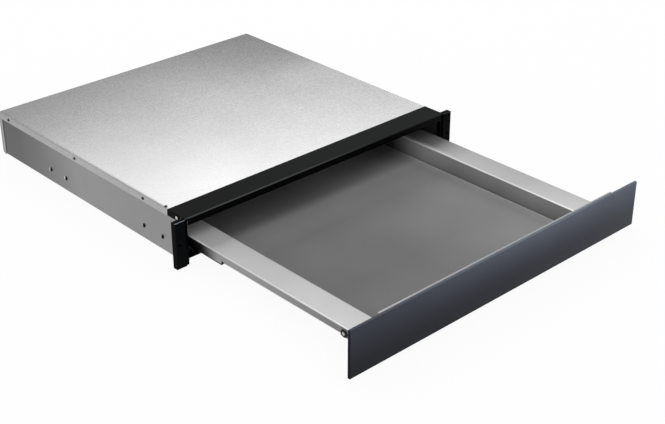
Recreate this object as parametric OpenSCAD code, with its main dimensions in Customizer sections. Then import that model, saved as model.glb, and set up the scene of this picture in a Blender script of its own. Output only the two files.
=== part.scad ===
// Built-in accessory drawer, shown pulled out as in the photograph.
// Units are millimetres. X runs to the right, Y runs to the back and Z runs up.
// The origin is the centre of the housing's underside. Left is the -X side.

/* [Housing] */
// Distance from an end of the front panel to the cover's side lip
housing_inset = 27; // [24:0.5:32]
// Depth from the posts' front faces to the cover's rear lip
housing_d = 514; // [420:1:620]
// Height of the cover's top above the surface that the housing stands on
housing_h = 76.9; // [71:0.1:100]
// Thickness of the housing's sheet
sheet_t = 0.8; // [0.6:0.1:1]
// Thickness of the base plate
base_t = 1; // [0.8:0.1:1.2]
// Height of the cover's folded lips
cover_lip_h = 11; // [9:0.1:14]
// Outside radius of the cover's folds
cover_bend_r = 3.5; // [2:0.1:5]
// Width of the side panels' folded flanges
side_flange_w = 11.4; // [9:0.1:13]
// Depth of the rear panel's returns along the sides
rear_return = 11.5; // [8:0.1:20]

/* [Front frame] */
// How far a post stands out beside the cover's lip
post_reach = 18; // [14:0.5:22]
// Width of a post's raised face
post_face_w = 18; // [17:0.5:22]
// Width of the recessed strip beside it
post_strip_w = 5.4; // [4.5:0.1:6]
// Depth of that recess
post_recess = 2; // [1:0.1:3]
// Depth of a post from front to back
post_d = 9; // [8:0.1:12]
// Wall of a post's shell
post_wall = 2; // [1.6:0.1:2.4]
// Gap between a post's top and the crossbar above it
post_top_gap = 0.7; // [0.3:0.1:2]
// Depth of the black crossbar
bar_d = 42; // [35:0.5:60]
// Height of the crossbar's front lip
bar_lip_h = 11.9; // [7:0.1:12.5]
// Height of the crossbar's end lips
bar_end_h = 10; // [7:0.1:11]
// Distance from the posts' front faces to the base's front edge
base_setback = 16.5; // [14:0.1:25]

/* [Front panel] */
// Width of the front panel, which the widths of the other parts follow
panel_w = 594; // [444:1:894]
// Height of the front panel
panel_h = 73.1; // [62:0.1:85]
// Thickness of the front panel
panel_t = 4; // [3:0.1:6]
// Height of the panel's lower edge above the ground
panel_z = 5.8; // [3:0.1:8]
// Radius of the panel's corners
panel_corner_r = 1.2; // [1:0.1:6]
// Thickness of the adhesive pads behind the panel
pad_t = 1; // [0.6:0.1:1.5]
// Distance from a ledge's outer edge to the end of the steel carrier behind the panel
carrier_inset = 15; // [8:1:30]
// Thickness of the carrier's sheet
carrier_t = 1.2; // [1:0.1:1.5]
// Gap between the closed panel and the posts
closed_gap = 5; // [4.5:0.1:8]
// How far the drawer stands open in the photograph, as a share of the outer slide member
open_share = 0.90125; // [0.75:0.00125:0.925]

/* [Tray] */
// Distance from the cover's side lip to a ledge's outer edge
ledge_inset = 14; // [13:0.5:16]
// Width of a ledge
ledge_w = 43.5; // [40:0.5:51]
// Height of the ledges' tops above the ground
ledge_z = 40.7; // [39.5:0.1:44]
// Height of a ledge's outer lip
ledge_lip_h = 11.2; // [9:0.1:13]
// Outside radius of the ledges' folds
ledge_bend_r = 2.4; // [1.5:0.1:3]
// Height of the tray's underside above the ground
tray_z = 8.6; // [7.5:0.1:9]
// Clear depth behind the closed tray, in which the push latch lies
latch_room = 54; // [53:0.5:80]
// Thickness of the grey mat
mat_t = 1.2; // [0.8:0.1:3]
// Gap between the mat and the tray's walls
mat_gap = 2; // [1:0.1:5]

/* [Slides] */
// Distance from the outer member's rear end to the cover's rear lip
slide_rear_room = 69; // [55:1:90]
// Length of the middle member as a share of the outer member's
middle_share = 0.74; // [0.7:0.01:0.8]
// Length of the inner member on the tray as a share of the outer member's
inner_share = 1.02; // [0.95:0.01:1.05]
// Height of the outer member
slide_h = 24.6; // [22:0.1:25]
// Height of the slides' centre line above the ground
slide_z = 24.1; // [23.5:0.1:25]
// Distance from the cover's side lip to the outer member's back
slide_inset = 18.4; // [18:0.1:19.5]
// Distance from the posts' front faces to the outer member's front end
slide_setback = 45; // [40:1:50]
// Distance from the stop behind the middle member to the outer member's rear end
buffer_set = 7.65; // [2:0.05:12]
// Diameter of the larger balls
ball_outer_d = 3; // [2.8:0.05:3.1]
// Diameter of the smaller balls
ball_inner_d = 2.4; // [2.2:0.05:2.5]
// Spacing of the balls in their cages
ball_pitch = 12; // [8:1:20]
// Running clearance of the balls
ball_gap = 0.1; // [0.05:0.01:0.12]

/* [Push latch] */
// Diameter of the latch's plunger
plunger_d = 10; // [8:0.1:12]
// Travel of the plunger
plunger_travel = 8; // [4:0.5:8]
// Running clearance around the plunger
plunger_gap = 0.15; // [0.1:0.01:0.3]
// Diameter of the spring's wire
spring_wire_d = 0.9; // [0.6:0.1:1.1]
// Turns of the spring
spring_turns = 7; // [4:1:9]

/* [Fixings] */
// Diameter of the screw holes that fix the unit to its cabinet
fix_hole_d = 4.5; // [3.5:0.1:5]
// Distance from a post's outer edge to those holes
fix_hole_set = 7; // [6:0.5:10]
// Height of those holes above the ground
fix_hole_z = 38; // [34:0.5:42]
// Diameter of the machine screws' shanks
screw_d = 4; // [3:0.1:4.2]
// Diameter of the machine screws' heads
screw_head_d = 7; // [6:0.1:7.5]
// Height of the machine screws' heads
screw_head_h = 1.8; // [1:0.1:2]
// Diameter of the small screws' shanks
small_screw_d = 2.6; // [2:0.1:3]
// Diameter of the small screws' heads
small_head_d = 5; // [4:0.1:5.4]
// Height of the small screws' heads
small_head_h = 1.2; // [0.8:0.1:1.5]
// Clearance of a screw in its hole, on the radius
screw_gap = 0.1; // [0.05:0.01:0.15]

/* [Hidden] */
$fn = 32;

// Depths are counted from the posts' front faces, which stand at front_y
housing_w = panel_w - 2 * housing_inset;
front_y = -housing_d / 2;
housing_x = housing_w / 2;
side_x = housing_x - sheet_t;
side_in_x = side_x - sheet_t;
flange_top_z = housing_h - sheet_t;
rear_in_y = housing_d - 2 * sheet_t;
post_outer_x = housing_x + post_reach;
post_inner_x = post_outer_x - post_face_w - post_strip_w;
post_top_z = housing_h - sheet_t - post_top_gap;
bar_gap = 0.2;
bend_r = 1.6;
cut = 1;

// The slides' lengths follow the housing's depth, and so does the tray's
slide_outer_l = housing_d - slide_setback - slide_rear_room;
slide_outer_end = slide_setback + slide_outer_l;
slide_middle_l = slide_outer_l * middle_share;
slide_inner_l = slide_outer_l * inner_share;
slide_back_x = housing_x - slide_inset;
open_y = slide_outer_l * open_share;
tray_l = housing_d + closed_gap - latch_room;

// Places on the drawer, counted from the posts' front faces as the drawer stands open
panel_back_y = -closed_gap - open_y;
carrier_y = panel_back_y + pad_t;
tray_front_y = carrier_y + carrier_t;
tray_rear_y = panel_back_y + tray_l;
floor_z = tray_z + sheet_t;
mat_z = floor_z + sheet_t;
ledge_outer_x = housing_x - ledge_inset;
ledge_inner_x = ledge_outer_x - ledge_w;
carrier_w = 2 * (ledge_outer_x - carrier_inset);

// The slide's layers, counted inwards from the outer member's back
slide_t = 1;
middle_t = 0.9;
inner_t = 0.8;
cage_t = 0.5;
cage_gap = 0.25;
middle_set = slide_t + cage_t + 2 * cage_gap;
outer_depth = 8.6;
middle_depth = 8;
inner_depth = 9.8;
ball_outer_u = 5.2;
ball_inner_u = 6.3;
outer_in_h = slide_h - 2 * slide_t;
middle_h = outer_in_h - 2 * (ball_outer_d + 2 * ball_gap);
middle_in_h = middle_h - 2 * middle_t;
inner_h = middle_in_h - 2 * (ball_inner_d + 2 * ball_gap);
hanger_t = 1;
hanger_x = slide_back_x - inner_depth;
hanger_top_w = 18.3;
hanger_below = 1.5;
cage_hole_gap = 0.1;
inner_front_set = 17.5;
buffer_gap = 0.6;
buffer_l = 14;

// Depths at which the members begin as the drawer stands open: the middle member
// meets its stop as the drawer closes, and it moves half as far as the drawer does
buffer_y = slide_outer_end - buffer_set - buffer_l;
middle_y = buffer_y - buffer_gap - slide_middle_l - open_y / 2;
inner_y = panel_back_y + inner_front_set;

// Each cage fills the overlap of its two members, less a margin at either end
cage_front_set = 25;
cage_rear_set = 22.5;
cage_outer_y = slide_setback + cage_front_set;
cage_outer_l = middle_y + slide_middle_l - cage_rear_set - cage_outer_y;
cage_inner_front_set = 13;
cage_inner_rear_set = 12.5;
cage_inner_y = middle_y + cage_inner_front_set;
cage_inner_l = inner_y + slide_inner_l - cage_inner_rear_set - cage_inner_y;

// The brackets that carry the outer members, and the screws' depths along the side
bracket_t = 1.2;
bracket_floor_drop = 13;
bracket_floor_z = slide_z - bracket_floor_drop;
bracket_wall_rise = 8.4;
bracket_wall_top_z = slide_z + bracket_wall_rise;
bracket_post_rise = 10.4;
bracket_post_top_z = slide_z + bracket_post_rise;
bracket_margin = 9;
front_screw_set = 14.5;
front_screw_pitch = 46.5;
rear_screw_set = 84;
rear_screw_pitch = 44;
slide_screw_y = [
    [slide_setback + front_screw_set, slide_setback + front_screw_set + front_screw_pitch],
    [slide_outer_end - rear_screw_set - rear_screw_pitch, slide_outer_end - rear_screw_set]];
nut_t = 2.4;
nut_d = 7.2;
screw_tip = 0.8;

// The push latch, counted from the posts' front faces
striker_t = 1.5;
striker_w = 24;
striker_h = 14;
latch_z = 22.5;
latch_w = 28;
latch_h = 18;
latch_l = 30;
latch_floor = 3;
latch_front_y = rear_in_y - latch_l;
latch_rest_gap = 0.5;
closed_striker_y = tray_rear_y + open_y + striker_t;
tip_t = 2;
plunger_front_y = closed_striker_y + latch_rest_gap + tip_t;
plunger_end_y = rear_in_y - latch_floor - spring_turns * spring_wire_d - plunger_travel;
rivet_d = 3;
rivet_head_d = 5;
rivet_x = 10;

// Fastener depths and places
cover_screw_set = 60;
cover_screw_mid = 230;
cover_screw_rear = 33;
cover_screw_y = [bar_d + cover_screw_set, housing_d - cover_screw_mid, housing_d - cover_screw_rear];
corner_screw_set = [4, 8];
cover_corner_screw = [housing_x - corner_screw_set[0], bar_d + corner_screw_set[1]];
cover_screw_drop = 5.5;
cover_screw_z = housing_h - cover_screw_drop;
crossbar_screw_set = 10;
crossbar_screw_y = post_d + crossbar_screw_set;
crossbar_screw_drop = 5;
crossbar_screw_z = housing_h - crossbar_screw_drop;
fix_hole_x = post_outer_x - fix_hole_set;
post_screw_set = 12;
post_screw_x = post_outer_x - post_screw_set;
post_screw_dz = 19;
boss_wall = 2.2;
carrier_screw_set = [13.5, 23.5];
carrier_screw_x = [for (set = carrier_screw_set) ledge_inner_x + set];
carrier_screw_z = [13.5, 28];
bracket_leg = 55;
bracket_end_set = 12;
bracket_reach_x = panel_w / 2 - bracket_end_set;
bracket_drop = 14.2;
bracket_z = ledge_z - bracket_drop;
bracket_h = 11.5;
bracket_screw_set = 48;
bracket_screw_rise = 5.7;
bracket_screw_z = bracket_z + bracket_screw_rise;
washer_t = 1;
washer_d = 12;
pad_h = 6;

// Draws the left shape as it is and the right one as its mirror image
module on_side(side) {
    if (side < 0) children();
    else mirror([1, 0, 0]) children();
}

module both_sides() {
    children();
    mirror([1, 0, 0]) children();
}

// Moves a shape whose depth is counted from the posts' front faces
module from_front(y = 0) translate([0, front_y + y, 0]) children();

// Runs a flat shape drawn in X and Z from depth y0 to depth y1
module along_y(y0, y1)
    from_front(y1) rotate([90, 0, 0]) linear_extrude(height = y1 - y0) children();

// Runs a flat shape drawn in Y and Z from x0 to x1
module along_x(x0, x1)
    from_front() translate([x0, 0, 0]) rotate([90, 0, 90])
        linear_extrude(height = x1 - x0) children();

// Runs a flat shape drawn in X and Y from z0 to z1
module along_z(z0, z1)
    from_front() translate([0, 0, z0]) linear_extrude(height = z1 - z0) children();

// A block between two corners
module block(low, high) from_front() translate(low) cube(high - low);

// A sheet folded at right angles: its middle line runs through path,
// and each fold is an arc of outside radius r, drawn in fold_steps straight pieces
fold_steps = 5;
function unit(v) = v / norm(v);
function left_of(d) = [-d[1], d[0]];
function turn(a, b) = sign(a[0] * b[1] - a[1] * b[0]);
function fold(p, a, b, s, r) =
    let (centre = p + (b - a) * r, reach = r - s * turn(a, b))
    [for (k = [0:fold_steps]) let (q = 90 * k / fold_steps)
        centre - b * reach * cos(q) + a * reach * sin(q)];
function rail(path, s, r) = [
    for (i = [0:len(path) - 1])
        let (last = len(path) - 1, m = max(i, 1), n = min(i, last - 1),
             a = unit(path[m] - path[m - 1]), b = unit(path[n + 1] - path[n]))
        each (i == 0 || i == last) ? [path[i] + left_of(a) * s] : fold(path[i], a, b, s, r)];
function reversed(list) = [for (i = [len(list) - 1:-1:0]) list[i]];

module folded(path, t, r = bend_r)
    polygon(concat(rail(path, t / 2, r - t / 2), reversed(rail(path, -t / 2, r - t / 2))));

// A screw along +Z with a domed head from z = 0 upwards and its shank below
module screw(head_d, head_h, shank_d, shank_l) {
    crown = head_h * 0.45;
    difference() {
        union() {
            cylinder(d = head_d, h = head_h - crown);
            translate([0, 0, head_h - crown])
                cylinder(d1 = head_d, d2 = head_d * 0.66, h = crown);
        }
        for (q = [0, 90]) rotate([0, 0, q])
            translate([-head_d * 0.27, -head_d * 0.06, head_h * 0.5])
                cube([head_d * 0.54, head_d * 0.12, head_h]);
    }
    translate([0, 0, -shank_l]) cylinder(d = shank_d, h = shank_l);
}

// Points a screw's head or a cylinder's axis along an axis of the model
module head_left() rotate([0, -90, 0]) children();
module head_back() rotate([-90, 0, 0]) children();

// HOUSING

module base_plate() color("silver")
    block([-side_in_x + bend_r, base_setback + sheet_t, 0], [side_in_x - bend_r, rear_in_y, base_t]);

// The outline of a side: wall, floor flange, top flange and the tab behind the post
module side_shell() {
    wall_x = -side_x + sheet_t / 2;
    low_z = base_t + sheet_t / 2;
    high_z = flange_top_z - sheet_t / 2;
    flange_x = -side_in_x + side_flange_w;
    face_y = post_d + sheet_t / 2;
    along_y(post_d + bend_r, housing_d - cover_bend_r) folded([
        [flange_x, low_z], [wall_x, low_z], [wall_x, high_z], [flange_x, high_z]],
        sheet_t, cover_bend_r - sheet_t);
    along_z(base_t + bend_r, flange_top_z - bend_r) folded([
        [wall_x, bar_d / 2], [wall_x, face_y], [-post_outer_x + post_wall, face_y]], sheet_t);
}

// The holes in a side's sheets
module side_holes(side) {
    for (pair = slide_screw_y, y = pair)
        from_front(y) translate([-side_x - cut, 0, slide_z]) rotate([0, 90, 0])
            cylinder(d = screw_d + 2 * screw_gap, h = sheet_t + 2 * cut);
    for (y = cover_screw_y) side_screw_hole(y, cover_screw_z);
    side_screw_hole(crossbar_screw_y, crossbar_screw_z);
    if (side < 0) from_front()
        translate([-cover_corner_screw[0], cover_corner_screw[1], flange_top_z - 2 * sheet_t])
            cylinder(d = small_screw_d + 2 * screw_gap, h = 3 * sheet_t);
    for (dz = [-post_screw_dz, post_screw_dz])
        post_hole(post_screw_x, fix_hole_z + dz, small_screw_d + 2 * screw_gap, post_d - cut, 3);
    post_hole(fix_hole_x, fix_hole_z, fix_hole_d, post_d - cut, 3);
}

// The sheet of a side from x = a to x = b: its wall and flanges meet at flat faces
module side_sheet(side, a, b) color("lightgray") on_side(side) difference() {
    intersection() {
        side_shell();
        block([a, -cut, 0], [b, housing_d + cut, housing_h]);
    }
    side_holes(side);
}

// The flat tab that stands out from the wall behind the post
module side_tab(side) color("lightgray") on_side(side) difference() {
    block([-post_outer_x + post_wall, post_d, base_t + bend_r],
          [-side_x, post_d + sheet_t, flange_top_z - bend_r]);
    side_holes(side);
}

// A hole through the side wall and whatever lies on it
module side_screw_hole(y, z)
    from_front(y) translate([-housing_x - cut, 0, z]) rotate([0, 90, 0])
        cylinder(d = small_screw_d + 2 * screw_gap, h = 2 * sheet_t + 2 * cut);

// A hole along Y at a post, from depth y and h long
module post_hole(x, z, d, y, h)
    from_front(y) translate([-x, 0, z]) rotate([-90, 0, 0]) cylinder(d = d, h = h);

module side_panel_left() side_sheet(-1, -side_x, -side_in_x);
module side_panel_right() side_sheet(1, -side_x, -side_in_x);
module side_flanges_left() side_sheet(-1, -side_in_x, 0);
module side_flanges_right() side_sheet(1, -side_in_x, 0);
module side_tab_left() side_tab(-1);
module side_tab_right() side_tab(1);

module rear_panel() color("lightgray") {
    wall_y = rear_in_y + sheet_t / 2;
    return_x = housing_x - sheet_t / 2;
    return_top_z = housing_h - cover_lip_h - bar_gap;
    chamfer = 7.3;
    lug = side_in_x - side_flange_w - sheet_t;
    difference() {
        along_z(base_t, return_top_z) folded([
            [-return_x, housing_d - rear_return], [-return_x, wall_y],
            [return_x, wall_y], [return_x, housing_d - rear_return]], sheet_t);
        both_sides() along_x(-housing_x - cut, -side_x)
            polygon([[housing_d - chamfer - sheet_t, 0], [housing_d, 0],
                     [housing_d, chamfer + sheet_t]]);
        rivet_holes();
    }
    block([-side_x + cover_bend_r, rear_in_y, return_top_z - cut],
          [side_x - cover_bend_r, rear_in_y + sheet_t, housing_h - cover_bend_r]);
    block([-lug, rear_in_y - side_flange_w, base_t], [lug, wall_y, base_t + sheet_t]);
}

module rivet_holes()
    both_sides() from_front(rear_in_y - cut) translate([-rivet_x, 0, latch_z])
        rotate([-90, 0, 0]) cylinder(d = rivet_d + 2 * screw_gap, h = sheet_t + 2 * cut);

module top_cover() color("gainsboro") {
    mid_z = housing_h - sheet_t / 2;
    lip_x = housing_x - sheet_t / 2;
    lip_z = housing_h - cover_lip_h;
    rear_y = housing_d - sheet_t / 2;
    tongue_x = side_in_x - side_flange_w - sheet_t;
    tongue_front = 14;
    tongue_back = 8;
    difference() {
        union() {
            along_y(bar_d, housing_d - cover_bend_r) folded([
                [-lip_x, lip_z], [-lip_x, mid_z], [lip_x, mid_z], [lip_x, lip_z]],
                sheet_t, cover_bend_r);
            along_x(-housing_x + cover_bend_r, housing_x - cover_bend_r) folded([
                [housing_d - 2 * cover_bend_r - sheet_t, mid_z], [rear_y, mid_z], [rear_y, lip_z]],
                sheet_t, cover_bend_r);
            block([-tongue_x, bar_d - tongue_front, flange_top_z - sheet_t],
                  [tongue_x, bar_d + tongue_back, flange_top_z]);
            block([-tongue_x, bar_d, flange_top_z - sheet_t / 2],
                  [tongue_x, bar_d + tongue_back, mid_z]);
        }
        both_sides() for (y = cover_screw_y) side_screw_hole(y, cover_screw_z);
        from_front() translate([-cover_corner_screw[0], cover_corner_screw[1], flange_top_z - cut])
            cylinder(d = small_screw_d + 2 * screw_gap, h = sheet_t + 2 * cut);
    }
}

module front_crossbar() color("black") {
    mid_z = housing_h - sheet_t / 2;
    end_x = housing_x - sheet_t / 2;
    lip_y = sheet_t / 2;
    lip_end_x = post_inner_x - bar_gap;
    end_y = post_d + 2 * bend_r;
    difference() {
        union() {
            along_x(-lip_end_x, lip_end_x) folded([
                [lip_y, housing_h - bar_lip_h], [lip_y, mid_z], [bar_d - bar_gap, mid_z]], sheet_t);
            along_y(end_y, bar_d - bar_gap) folded([
                [-end_x, housing_h - bar_end_h], [-end_x, mid_z],
                [end_x, mid_z], [end_x, housing_h - bar_end_h]], sheet_t);
            both_sides() block([-side_x, 0, flange_top_z],
                               [-lip_end_x + bend_r, end_y + bend_r, housing_h]);
        }
        both_sides() side_screw_hole(crossbar_screw_y, crossbar_screw_z);
    }
}

// A post: a shell open at the back, with bosses round its screw holes
module post_shell() {
    face_x = post_outer_x - post_face_w;
    difference() {
        union() {
            block([-post_outer_x, 0, 0], [-face_x, post_d, post_top_z]);
            block([-face_x - cut, post_recess, 0], [-post_inner_x, post_d, post_top_z]);
        }
        block([-post_outer_x + post_wall, post_recess + post_wall, post_wall],
              [-post_inner_x - post_wall, post_d + cut, post_top_z - post_wall]);
    }
}

module post_boss(x, z, d) post_hole(x, z, d, post_recess, post_d - post_recess);

module front_post(side) color("black") on_side(side) difference() {
    union() {
        post_shell();
        intersection() {
            union() {
                post_boss(fix_hole_x, fix_hole_z, fix_hole_d + 2 * boss_wall);
                for (dz = [-post_screw_dz, post_screw_dz])
                    post_boss(post_screw_x, fix_hole_z + dz, small_screw_d + 2 * boss_wall);
            }
            block([-post_outer_x, 0, 0], [-post_inner_x, post_d, post_top_z]);
        }
    }
    post_hole(fix_hole_x, fix_hole_z, fix_hole_d, -cut, post_d + 2 * cut);
    for (dz = [-post_screw_dz, post_screw_dz])
        post_hole(post_screw_x, fix_hole_z + dz, small_screw_d + 2 * screw_gap,
                  post_d / 2, post_d / 2 + cut);
}

module front_post_left() front_post(-1);
module front_post_right() front_post(1);

// The black strip that caps the base's front edge
module front_sill() color("black") {
    strip_y = base_setback - sheet_t / 2;
    strip_x = post_inner_x - bar_gap;
    tab_x = side_in_x - side_flange_w - bar_gap;
    depth = 14;
    along_x(-tab_x, tab_x) folded([
        [base_setback + depth, base_t + sheet_t / 2], [strip_y, base_t + sheet_t / 2],
        [strip_y, 0]], sheet_t, 2 * sheet_t);
    block([-strip_x, base_setback - sheet_t, 0], [strip_x, base_setback, base_t]);
}

// HOUSING FASTENERS

module small_screw(shank_l) screw(small_head_d, small_head_h, small_screw_d, shank_l);

// Three on each side, and one on top that bonds the cover to the left side
module cover_screws() color("dimgray") {
    both_sides() for (y = cover_screw_y)
        from_front(y) translate([-housing_x, 0, cover_screw_z]) head_left() small_screw(4);
    from_front() translate([-cover_corner_screw[0], cover_corner_screw[1], housing_h]) small_screw(4);
}

module crossbar_screws() color("silver") both_sides()
    from_front(crossbar_screw_y) translate([-housing_x, 0, crossbar_screw_z])
        head_left() small_screw(4);

module post_screws() color("silver") both_sides()
    for (dz = [-post_screw_dz, post_screw_dz])
        from_front(post_d + sheet_t) translate([-post_screw_x, 0, fix_hole_z + dz])
            head_back() small_screw(post_d / 2);

module slide_screws() color("dimgray") both_sides()
    for (pair = slide_screw_y, y = pair)
        from_front(y) translate([-side_x, 0, slide_z]) head_left()
            screw(screw_head_d, screw_head_h, screw_d, sheet_t + bracket_t + nut_t + screw_tip);

module slide_nuts() color("silver") both_sides()
    for (pair = slide_screw_y, y = pair)
        from_front(y) translate([-side_in_x + bracket_t, 0, slide_z]) rotate([0, 90, 0])
            difference() {
                cylinder(d = nut_d, h = nut_t, $fn = 6);
                translate([0, 0, -cut]) cylinder(d = screw_d + screw_gap, h = nut_t + 2 * cut, $fn = 32);
            }

// SLIDES

// Profile of a channel at the slide: it is h high over its flanges, of sheet t,
// with its back from near to near + t and its flanges' ends at far, drawn in X and Z
module channel(h, t, near, far, r = bend_r) {
    flange_z = (h - t) / 2;
    web = near + (far > near ? t / 2 : -t / 2);
    translate([-slide_back_x, slide_z]) folded([
        [far, -flange_z], [web, -flange_z], [web, flange_z], [far, flange_z]], t, r);
}

module slide_bracket_shape() {
    wall_x = -side_in_x + bracket_t / 2;
    carry_x = -slide_back_x - bracket_t / 2;
    floor_z = bracket_floor_z + bracket_t / 2;
    difference() {
        for (pair = slide_screw_y)
            along_y(pair[0] - bracket_margin, pair[1] + bracket_margin) folded([
                [wall_x, bracket_wall_top_z], [wall_x, floor_z],
                [carry_x, floor_z], [carry_x, bracket_post_top_z]], bracket_t, 2 * bracket_t);
        for (pair = slide_screw_y, y = pair)
            from_front(y) translate([-side_x, 0, slide_z]) rotate([0, 90, 0])
                cylinder(d = screw_d + 2 * screw_gap, h = 4 * bracket_t);
    }
}

module slide_brackets_left() color("silver") on_side(-1) slide_bracket_shape();
module slide_brackets_right() color("silver") on_side(1) slide_bracket_shape();

module slide_outer(side) color("silver") on_side(side)
    along_y(slide_setback, slide_setback + slide_outer_l)
        channel(slide_h, slide_t, 0, outer_depth);

module slide_outer_left() slide_outer(-1);
module slide_outer_right() slide_outer(1);

// Plastic stops at the outer members' rear ends, which the closed middle members meet
module slide_buffers() color("dimgray") both_sides() {
    height = outer_in_h - 2 * (bend_r - slide_t);
    from_front() translate([-slide_back_x + slide_t, buffer_y, slide_z - height / 2])
        cube([outer_depth - slide_t, buffer_l, height]);
}

module slide_middle(side) color("silver") on_side(side)
    along_y(middle_y, middle_y + slide_middle_l)
        channel(middle_h, middle_t, middle_set, middle_depth, 1.3);

module slide_middle_left() slide_middle(-1);
module slide_middle_right() slide_middle(1);

module slide_inner(side) color("silver") on_side(side)
    along_y(inner_y, inner_y + slide_inner_l)
        channel(inner_h, inner_t, inner_depth, inner_depth - 5.2, 1.2);

module slide_inner_left() slide_inner(-1);
module slide_inner_right() slide_inner(1);

module slide_hanger(side) color("silver") on_side(side)
    along_y(inner_y, inner_y + slide_inner_l) folded([
        [-hanger_x + hanger_t / 2, slide_z - inner_h / 2 - hanger_below],
        [-hanger_x + hanger_t / 2, ledge_z - sheet_t - hanger_t / 2],
        [-hanger_x + hanger_top_w, ledge_z - sheet_t - hanger_t / 2]], hanger_t);

module slide_hanger_left() slide_hanger(-1);
module slide_hanger_right() slide_hanger(1);

function ball_places(start, length) =
    [for (y = [start + ball_pitch / 2 : ball_pitch : start + length - ball_pitch / 4]) y];
outer_ball_w = (middle_h + ball_outer_d) / 2 + ball_gap;
inner_ball_w = (inner_h + ball_inner_d) / 2 + ball_gap;

// Puts a shape at each ball of the left slide
module at_balls(start, length, u, w)
    for (y = ball_places(start, length), s = [-1, 1])
        from_front(y) translate([-slide_back_x + u, 0, slide_z + s * w]) children();

module cage(start, length, u, w, d, near, far) difference() {
    along_y(start, start + length) channel(2 * w + cage_t, cage_t, near, far, 1);
    at_balls(start, length, u, w)
        translate([0, 0, -cut]) cylinder(d = d + 2 * cage_hole_gap, h = 2 * cut);
}

module ball_cage_outer(side) color("goldenrod") on_side(side)
    cage(cage_outer_y, cage_outer_l, ball_outer_u, outer_ball_w, ball_outer_d,
         slide_t + cage_gap, middle_depth);

module ball_cage_inner(side) color("goldenrod") on_side(side)
    cage(cage_inner_y, cage_inner_l, ball_inner_u, inner_ball_w, ball_inner_d,
         middle_set + middle_t + 2 * cage_gap, middle_depth);

module ball_cage_outer_left() ball_cage_outer(-1);
module ball_cage_outer_right() ball_cage_outer(1);
module ball_cage_inner_left() ball_cage_inner(-1);
module ball_cage_inner_right() ball_cage_inner(1);

module balls_outer(side) color("white") on_side(side)
    at_balls(cage_outer_y, cage_outer_l, ball_outer_u, outer_ball_w)
        sphere(d = ball_outer_d, $fn = 24);

module balls_inner(side) color("white") on_side(side)
    at_balls(cage_inner_y, cage_inner_l, ball_inner_u, inner_ball_w)
        sphere(d = ball_inner_d, $fn = 24);

module balls_outer_left() balls_outer(-1);
module balls_outer_right() balls_outer(1);
module balls_inner_left() balls_inner(-1);
module balls_inner_right() balls_inner(1);

// TRAY

module tray_side(side) color("lightgray") on_side(side) difference() {
    outer_x = -ledge_outer_x + sheet_t / 2;
    inner_x = -ledge_inner_x - sheet_t / 2;
    top_z = ledge_z - sheet_t / 2;
    low_z = tray_z + sheet_t / 2;
    union() {
        along_y(tray_front_y, tray_rear_y) folded([
            [outer_x, ledge_z - ledge_lip_h], [outer_x, top_z], [inner_x, top_z],
            [inner_x, low_z], [-ledge_inner_x + side_flange_w, low_z]], sheet_t, ledge_bend_r);
        block([-ledge_outer_x + ledge_bend_r, tray_front_y, floor_z],
              [-ledge_inner_x - sheet_t / 2, tray_front_y + sheet_t, top_z]);
    }
    at_carrier_screws(tray_front_y - cut)
        rotate([-90, 0, 0]) cylinder(d = small_screw_d + 2 * screw_gap, h = 3 * cut);
    from_front(panel_back_y + bracket_screw_set)
        translate([-ledge_outer_x - cut, 0, bracket_screw_z]) rotate([0, 90, 0])
            cylinder(d = small_screw_d + 2 * screw_gap, h = 3 * cut);
}

module at_carrier_screws(y)
    for (i = [0, 1]) from_front(y) translate([-carrier_screw_x[i], 0, carrier_screw_z[i]]) children();

module tray_side_left() tray_side(-1);
module tray_side_right() tray_side(1);

// The floor lies between the folds at the feet of the tray's walls
floor_gap = 0.2;
floor_x = ledge_inner_x - (ledge_bend_r - sheet_t) - floor_gap;
back_flange = 12;

module tray_floor() color("lightgray")
    block([-floor_x, tray_front_y + floor_gap, floor_z], [floor_x, tray_rear_y, mat_z]);

module tray_back() color("lightgray") {
    wall_x = ledge_inner_x - floor_gap;
    along_x(-floor_x, floor_x) folded([
        [tray_rear_y - back_flange, mat_z + sheet_t / 2],
        [tray_rear_y - sheet_t / 2, mat_z + sheet_t / 2],
        [tray_rear_y - sheet_t / 2, ledge_z]], sheet_t);
    block([-wall_x, tray_rear_y - sheet_t, tray_z + ledge_bend_r + bend_r],
          [wall_x, tray_rear_y, ledge_z]);
}

module tray_mat() color("gray")
    block([-ledge_inner_x + mat_gap, tray_front_y + mat_gap, mat_z],
          [ledge_inner_x - mat_gap, tray_rear_y - back_flange - mat_gap, mat_z + mat_t]);

// FRONT PANEL

module front_panel() color("darkslategray")
    from_front(panel_back_y) rotate([90, 0, 0]) linear_extrude(height = panel_t)
        translate([-panel_w / 2, panel_z]) rounded_plate(panel_w, panel_h, panel_corner_r);

module rounded_plate(w, h, r) {
    translate([r, 0]) square([w - 2 * r, h]);
    translate([0, r]) square([w, h - 2 * r]);
    for (x = [r, w - r], y = [r, h - r]) translate([x, y]) circle(r = r);
}

carrier_low_z = mat_z;
carrier_top_z = panel_z + panel_h - 0.6;
carrier_flange = 4;

module panel_carrier() color("lightgray") difference() {
    along_x(-carrier_w / 2, carrier_w / 2) folded([
        [carrier_y + carrier_t / 2, carrier_low_z],
        [carrier_y + carrier_t / 2, carrier_top_z - carrier_t / 2],
        [panel_back_y + carrier_flange, carrier_top_z - carrier_t / 2]], carrier_t, 2);
    both_sides() at_carrier_screws(carrier_y - cut)
        rotate([-90, 0, 0]) cylinder(d = small_screw_d + 2 * screw_gap, h = 3 * cut);
}

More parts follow.
